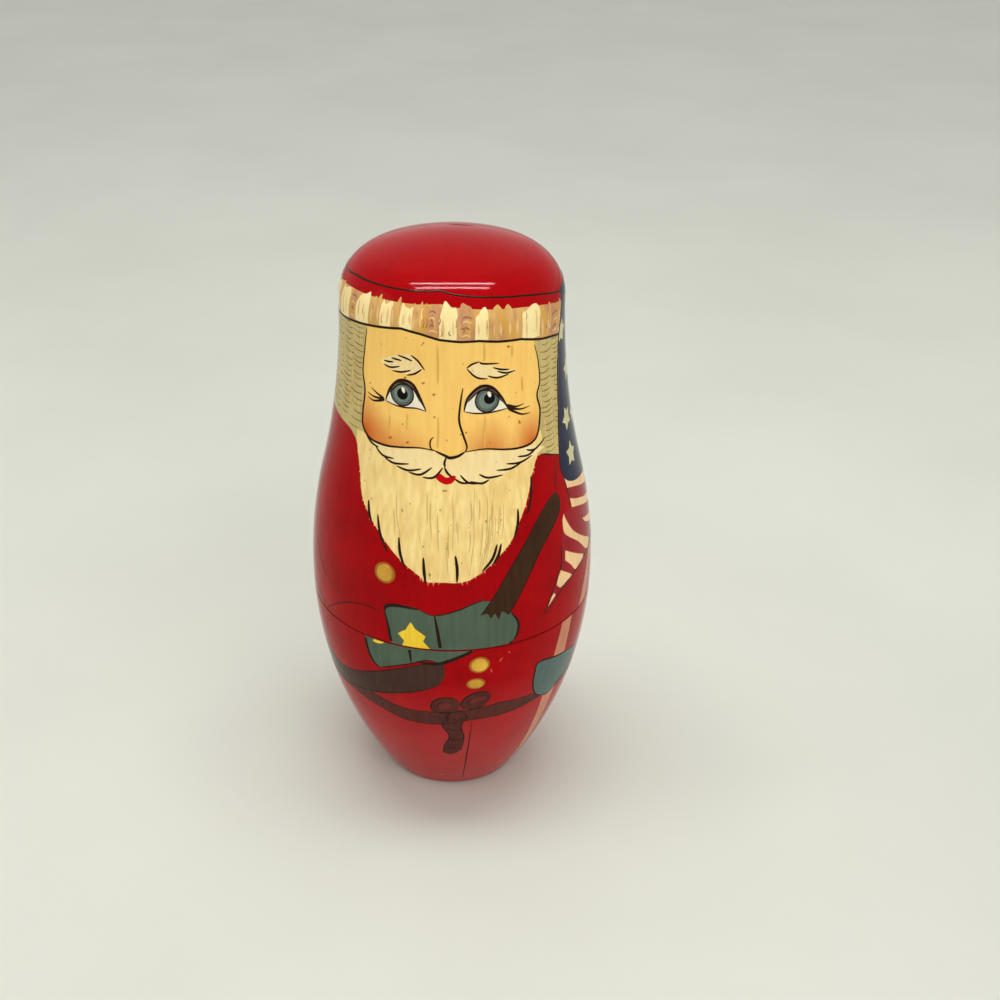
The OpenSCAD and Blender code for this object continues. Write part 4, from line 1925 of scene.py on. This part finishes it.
class BrushTool(NodesTool):
    """Sweeps a flat brush along guide lines, lying on the surface."""

    def __init__(self) -> None:
        """Builds the tree."""
        sizes = {"Flatness": "NodeSocketFloat", "Sides": "NodeSocketInt", "Material": "NodeSocketMaterial"}
        super().__init__("brush_lines", sizes)
        desk = self.desk
        lines = desk.add("GeometryNodeMeshToCurve", {"Mesh": self.given["Guides"]}).outputs["Curve"]
        lying = {"Curve": lines, "Normal": self.attribute("facing", "FLOAT_VECTOR")}
        lines = desk.add("GeometryNodeSetCurveNormal", lying, mode="FREE").outputs["Curve"]
        round_brush = {"Resolution": self.given["Sides"], "Radius": 1.0}
        brush = desk.add("GeometryNodeCurvePrimitiveCircle", round_brush).outputs["Curve"]
        squeeze = desk.add("ShaderNodeCombineXYZ", {"X": self.given["Flatness"], "Y": 1.0, "Z": 1.0})
        flat = desk.add("GeometryNodeTransform", {"Geometry": brush, "Scale": squeeze.outputs["Vector"]})
        sweep = {
            "Curve": lines,
            "Profile Curve": flat.outputs["Geometry"],
            "Scale": self.attribute("half_width", "FLOAT"),
            "Fill Caps": True,
        }
        self.close(desk.add("GeometryNodeCurveToMesh", sweep).outputs["Mesh"])


class DabTool(NodesTool):
    """Sets a low dome of paint on each guide point."""

    def __init__(self) -> None:
        """Builds the tree."""
        sizes = {"Segments": "NodeSocketInt", "Rings": "NodeSocketInt", "Material": "NodeSocketMaterial"}
        super().__init__("paint_dabs", sizes)
        desk = self.desk
        round_dab = {"Segments": self.given["Segments"], "Rings": self.given["Rings"], "Radius": 1.0}
        dome = desk.add("GeometryNodeMeshUVSphere", round_dab).outputs["Mesh"]
        outward = {"Vector": self.attribute("facing", "FLOAT_VECTOR")}
        lie = desk.add("FunctionNodeAlignRotationToVector", outward, axis="Z").outputs["Rotation"]
        spread = {
            "Points": self.given["Guides"],
            "Instance": dome,
            "Rotation": lie,
            "Scale": self.attribute("size", "FLOAT_VECTOR"),
        }
        self.close(desk.add("GeometryNodeInstanceOnPoints", spread).outputs["Instances"])


@dataclass
class Brushwork:
    """Brush lines and dabs of thick paint on one painted piece."""

    chart: Chart
    figure: Figure
    scale: float
    brush: BrushTool
    dab: DabTool
    flatness: float = 0.2
    sides: int = 8
    dab_height: float = 0.45
    dab_segments: int = 28
    dab_rings: int = 12
    reach: float = 1.2
    edge: float = 0.05
    thinnest: float = 0.06

    def build(self, name: str, box: PaintBox) -> bpy.types.Object:
        """Makes all brush lines and dabs of the piece as one object.

        Args:
            name: name of the piece.
            box: where its materials come from.

        Returns:
            The object.
        """
        paints, meshes = [], []
        line_sizes = {"Flatness": self.flatness, "Sides": self.sides}
        dab_sizes = {"Segments": self.dab_segments, "Rings": self.dab_rings}
        kinds = (
            (self.figure.strokes, self._lines, self.brush, line_sizes),
            (self.figure.dabs, self._dabs, self.dab, dab_sizes),
        )
        for marks, lay_out, tool, sizes in kinds:
            for paint in dict.fromkeys(mark.paint for mark in marks):
                guides = lay_out([mark for mark in marks if mark.paint is paint])
                if guides.vertices:
                    meshes.append(tool.run(guides, {**sizes, "Material": box[paint]}))
                    paints.append(paint)
        return self._joined(name, paints, meshes, box)

    def _runs(self, stroke: Stroke) -> list[list[tuple[Point, float]]]:
        """Cuts a stroke where it leaves the piece.

        Args:
            stroke: the stroke.

        Returns:
            Flat points and half widths of each run on the piece.
        """
        fine = short_steps([self.chart.flat(point) for point in stroke.points], self.reach)
        runs: list[list[tuple[Point, float]]] = [[]]
        for k, point in enumerate(fine):
            width = stroke.width * self.scale * stroke.taper.share(k / max(len(fine) - 1, 1))
            if self.edge <= point[1] <= self.chart.end - self.edge:
                runs[-1].append((point, max(width, self.thinnest) / 2))
            elif runs[-1]:
                runs.append([])
        return [run for run in runs if len(run) > 1]

    def _lines(self, strokes: Iterable[Stroke]) -> bpy.types.Mesh:
        """Lays out guide lines.

        Args:
            strokes: the strokes that they guide.

        Returns:
            The lines, with the half width and the outward direction at each point.
        """
        places, edges, widths, facings = [], [], [], []
        for stroke in strokes:
            for run in self._runs(stroke):
                for k, (point, half) in enumerate(run):
                    place, normal = self.chart.spot(point)
                    if k:
                        edges.append((len(places) - 1, len(places)))
                    places.append(place)
                    widths.append(half * MM)
                    facings.append(normal)
        guides = bpy.data.meshes.new("guide_lines")
        guides.from_pydata(places, edges, [])
        guides.attributes.new("half_width", "FLOAT", "POINT").data.foreach_set("value", widths)
        flat = [value for normal in facings for value in normal]
        guides.attributes.new("facing", "FLOAT_VECTOR", "POINT").data.foreach_set("vector", flat)
        return guides

    def _dabs(self, dabs: Iterable[Dab]) -> bpy.types.Mesh:
        """Lays out guide points.

        Args:
            dabs: the dabs that they guide.

        Returns:
            The points, with the size and the outward direction at each.
        """
        places, sizes, facings = [], [], []
        for dab in dabs:
            flat = self.chart.flat(dab.centre)
            if dab.tall * self.scale < flat[1] < self.chart.end - dab.tall * self.scale:
                place, normal = self.chart.spot(flat)
                places.append(place)
                sizes += [size * self.scale * MM for size in (dab.wide, dab.tall, self.dab_height)]
                facings += list(normal)
        guides = bpy.data.meshes.new("guide_dabs")
        guides.from_pydata(places, [], [])
        guides.attributes.new("size", "FLOAT_VECTOR", "POINT").data.foreach_set("vector", sizes)
        guides.attributes.new("facing", "FLOAT_VECTOR", "POINT").data.foreach_set("vector", facings)
        return guides

    @staticmethod
    def _joined(
        name: str,
        paints: Sequence[Paint],
        meshes: Sequence[bpy.types.Mesh],
        box: PaintBox,
    ) -> bpy.types.Object:
        """Makes one object from several meshes.

        Args:
            name: name of the piece.
            paints: paint of each mesh.
            meshes: the meshes.
            box: where the materials come from.

        Returns:
            The object, linked to the scene.
        """
        joined = bmesh.new()
        for k, part in enumerate(meshes):
            part.polygons.foreach_set("material_index", [k] * len(part.polygons))
            joined.from_mesh(part)
        mesh = bpy.data.meshes.new(name)
        joined.to_mesh(mesh)
        joined.free()
        for paint in paints:
            mesh.materials.append(box[paint])
        return placed(name, mesh)


@dataclass(frozen=True)
class Half:
    """One turned piece of a doll: its node, its body, and how far it is twisted."""

    node: str
    body: str
    twist: float = 0.0


@dataclass
class Doll:
    """One doll of the set, from its lower to its upper piece."""

    name: str
    halves: tuple[Half, ...]
    seed: int
    columns: int = 108
    detail: float = 0.6
    turnings: list[Turning] = field(init=False)
    stand: float = field(init=False)
    tall: float = field(init=False)

    def __post_init__(self) -> None:
        """Reads the doll's pieces from the frame."""
        self.turnings = [Turning(half.node) for half in self.halves]
        self.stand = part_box(self.halves[0].node)[0][2]
        self.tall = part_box(self.halves[-1].node)[1][2] - self.stand

    def build(self, box: PaintBox, brush: BrushTool, dab: DabTool) -> None:
        """Makes, dresses and hangs every piece of the doll.

        Args:
            box: where the materials come from.
            brush: tool for brush lines.
            dab: tool for dabs of thick paint.
        """
        scale = self.tall / MM / FIGURE_H
        girth = Girth(self.turnings, self.stand, self.tall)
        figure = Figure(girth, self.seed, self.detail)
        for half, turning in zip(self.halves, self.turnings):
            chart = Chart(turning, self.stand, self.tall, half.twist)
            wood = PaintedWood(turning, chart, figure, self.columns).build(box)
            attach(wood, half.body)
            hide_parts(half.node)
            lines = Brushwork(chart, figure, scale, brush, dab).build(half.node + "_brushwork", box)
            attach(lines, half.body)
            log.info("%s: %d and %d faces", half.node, len(wood.data.polygons), len(lines.data.polygons))


def nesting_set() -> list[Doll]:
    """Lists the five dolls; only the outer one's halves are twisted apart a little.

    Returns:
        The dolls, from the outer to the smallest.
    """
    lower = Half("outer_lower_half", "outer_lower", twist=-12.5)
    upper = Half("outer_upper_half", "outer_upper")
    dolls = [Doll("outer", (lower, upper), seed=11, columns=144, detail=1.0)]
    for k, name in enumerate(("second", "third", "fourth")):
        halves = (Half(f"{name}_lower_half", f"{name}_lower"), Half(f"{name}_upper_half", f"{name}_upper"))
        dolls.append(Doll(name, halves, seed=21 + 10 * k))
    dolls.append(Doll("smallest", (Half("smallest_doll", "smallest"),), seed=51, columns=96))
    return dolls


class Throw(Enum):
    """What a lamp gives: light, a glint in the lacquer, or both."""

    LIGHT = "light"
    GLINT = "glint"
    BOTH = "both"


@dataclass(frozen=True)
class Tabletop:
    """White tabletop with a dull gloss."""

    colour: Colour = (226, 228, 217)
    shade: Colour = (221, 223, 212)

    def material(self, name: str) -> bpy.types.Material:
        """Makes the material.

        Args:
            name: name of the material.

        Returns:
            The material, with faint clouds.
        """
        desk, material = Desk.for_material(name)
        at = desk.add("ShaderNodeTexCoord").outputs["Object"]
        tone = desk.mix(desk.ramp(desk.noise(at, 9.0), 0.35, 0.65), linear(self.colour), linear(self.shade))
        rough = desk.ramp(desk.noise(at, 30.0), 0.3, 0.7, 0.33, 0.37)
        looks = {"Base Color": tone, "Roughness": rough, "Specular IOR Level": 0.08}
        desk.surface(looks)
        return material


@dataclass
class Studio:
    """Floor, lamps and camera."""

    floor_size: float = 8.0
    eye: tuple[float, float, float] = (0.0, -0.3456, 0.2684)
    look_down: float = 61.34
    lens: float = 54.0
    shift: float = 0.048
    sky: float = 0.5
    seen_sky: float = 0.78

    def build(self) -> None:
        """Sets up everything round the dolls."""
        self._floor()
        self._lamp("ceiling_panel", (0.0, 0.0, 0.8), (0.0, 0.0, 0.1), (0.6, 0.2), 2.6, Throw.LIGHT)
        for place, depth in (("front", -0.06), ("rear", 0.07)):
            self._lamp(f"{place}_tube", (0.0, depth, 0.8), (0.0, 0.0, 0.1), (0.6, 0.05), 7.0, Throw.GLINT)
        self._lamp("front_panel", (0.8, -1.5, 1.3), (0.0, 0.0, 0.08), (1.3, 0.9), 7.5, Throw.LIGHT)
        self._lamp("low_fill", (0.5, -1.4, 0.35), (0.0, 0.0, 0.06), (1.2, 0.5), 5.0, Throw.LIGHT)
        self._lamp("left_window", (-1.0, -0.15, 0.45), (0.0, 0.0, 0.08), (0.4, 0.8), 1.2, Throw.BOTH)
        self._world()
        self._camera()

    def _floor(self) -> None:
        """A pale tabletop that fills the view."""
        half = self.floor_size / 2
        mesh = bpy.data.meshes.new("tabletop")
        corners = [(x * half, y * half, 0.0) for x, y in ((-1, -1), (1, -1), (1, 1), (-1, 1))]
        mesh.from_pydata(corners, [], [(0, 1, 2, 3)])
        mesh.materials.append(Tabletop().material("tabletop_white"))
        floor = placed("tabletop", mesh)

    @staticmethod
    def _lamp(
        name: str,
        place: Sequence[float],
        aim: Sequence[float],
        size: Point,
        power: float,
        throw: Throw,
    ) -> None:
        """A soft lamp.

        Args:
            name: its name.
            place: where it hangs.
            aim: what it points at.
            size: its width and height.
            power: its power in watts.
            throw: what it gives.
        """
        data = bpy.data.lights.new(name, "AREA")
        data.shape = "RECTANGLE"
        data.size, data.size_y = size
        data.energy = power
        lamp = placed(name, data)
        lamp.location = place
        lamp.visible_diffuse = throw is not Throw.GLINT
        lamp.visible_glossy = throw is not Throw.LIGHT
        lamp.rotation_euler = (Vector(aim) - Vector(place)).to_track_quat("-Z", "Y").to_euler()

    def _world(self) -> None:
        """Soft pale light from all round, seen and mirrored brighter than it shines."""
        world = bpy.data.worlds.new("studio")
        world.use_nodes = True
        world.node_tree.nodes.clear()
        desk = Desk(world.node_tree)
        rays = desk.add("ShaderNodeLightPath").outputs
        mirrored = desk.math("MAXIMUM", rays["Is Glossy Ray"], rays["Is Transmission Ray"])
        seen = desk.math("MAXIMUM", rays["Is Camera Ray"], mirrored)
        strength = desk.add("ShaderNodeMix", {0: seen, 2: self.sky, 3: self.seen_sky}).outputs[0]
        light = desk.add("ShaderNodeBackground", {"Color": (1.0, 0.99, 0.96, 1.0), "Strength": strength})
        desk.add("ShaderNodeOutputWorld", {"Surface": light.outputs["Background"]})
        bpy.context.scene.world = world
        bpy.context.scene.view_settings.view_transform = "Standard"

    def _camera(self) -> None:
        """The camera at the photograph's viewing angle."""
        data = bpy.data.cameras.new("camera")
        data.lens = self.lens
        data.shift_x = self.shift
        data.clip_start = 0.01
        camera = placed("camera", data)
        camera.location = self.eye
        camera.rotation_euler = Euler((math.radians(self.look_down), 0.0, 0.0))
        bpy.context.scene.camera = camera


def main() -> None:
    """Builds the dolls in order, then the studio round them."""
    logging.basicConfig(level=logging.INFO, format="%(name)s: %(message)s")
    box, brush, dab = PaintBox(), BrushTool(), DabTool()
    for doll in nesting_set():
        doll.build(box, brush, dab)
        log.info("%s doll is done", doll.name)
    Studio().build()


if __name__ == "__main__":
    main()
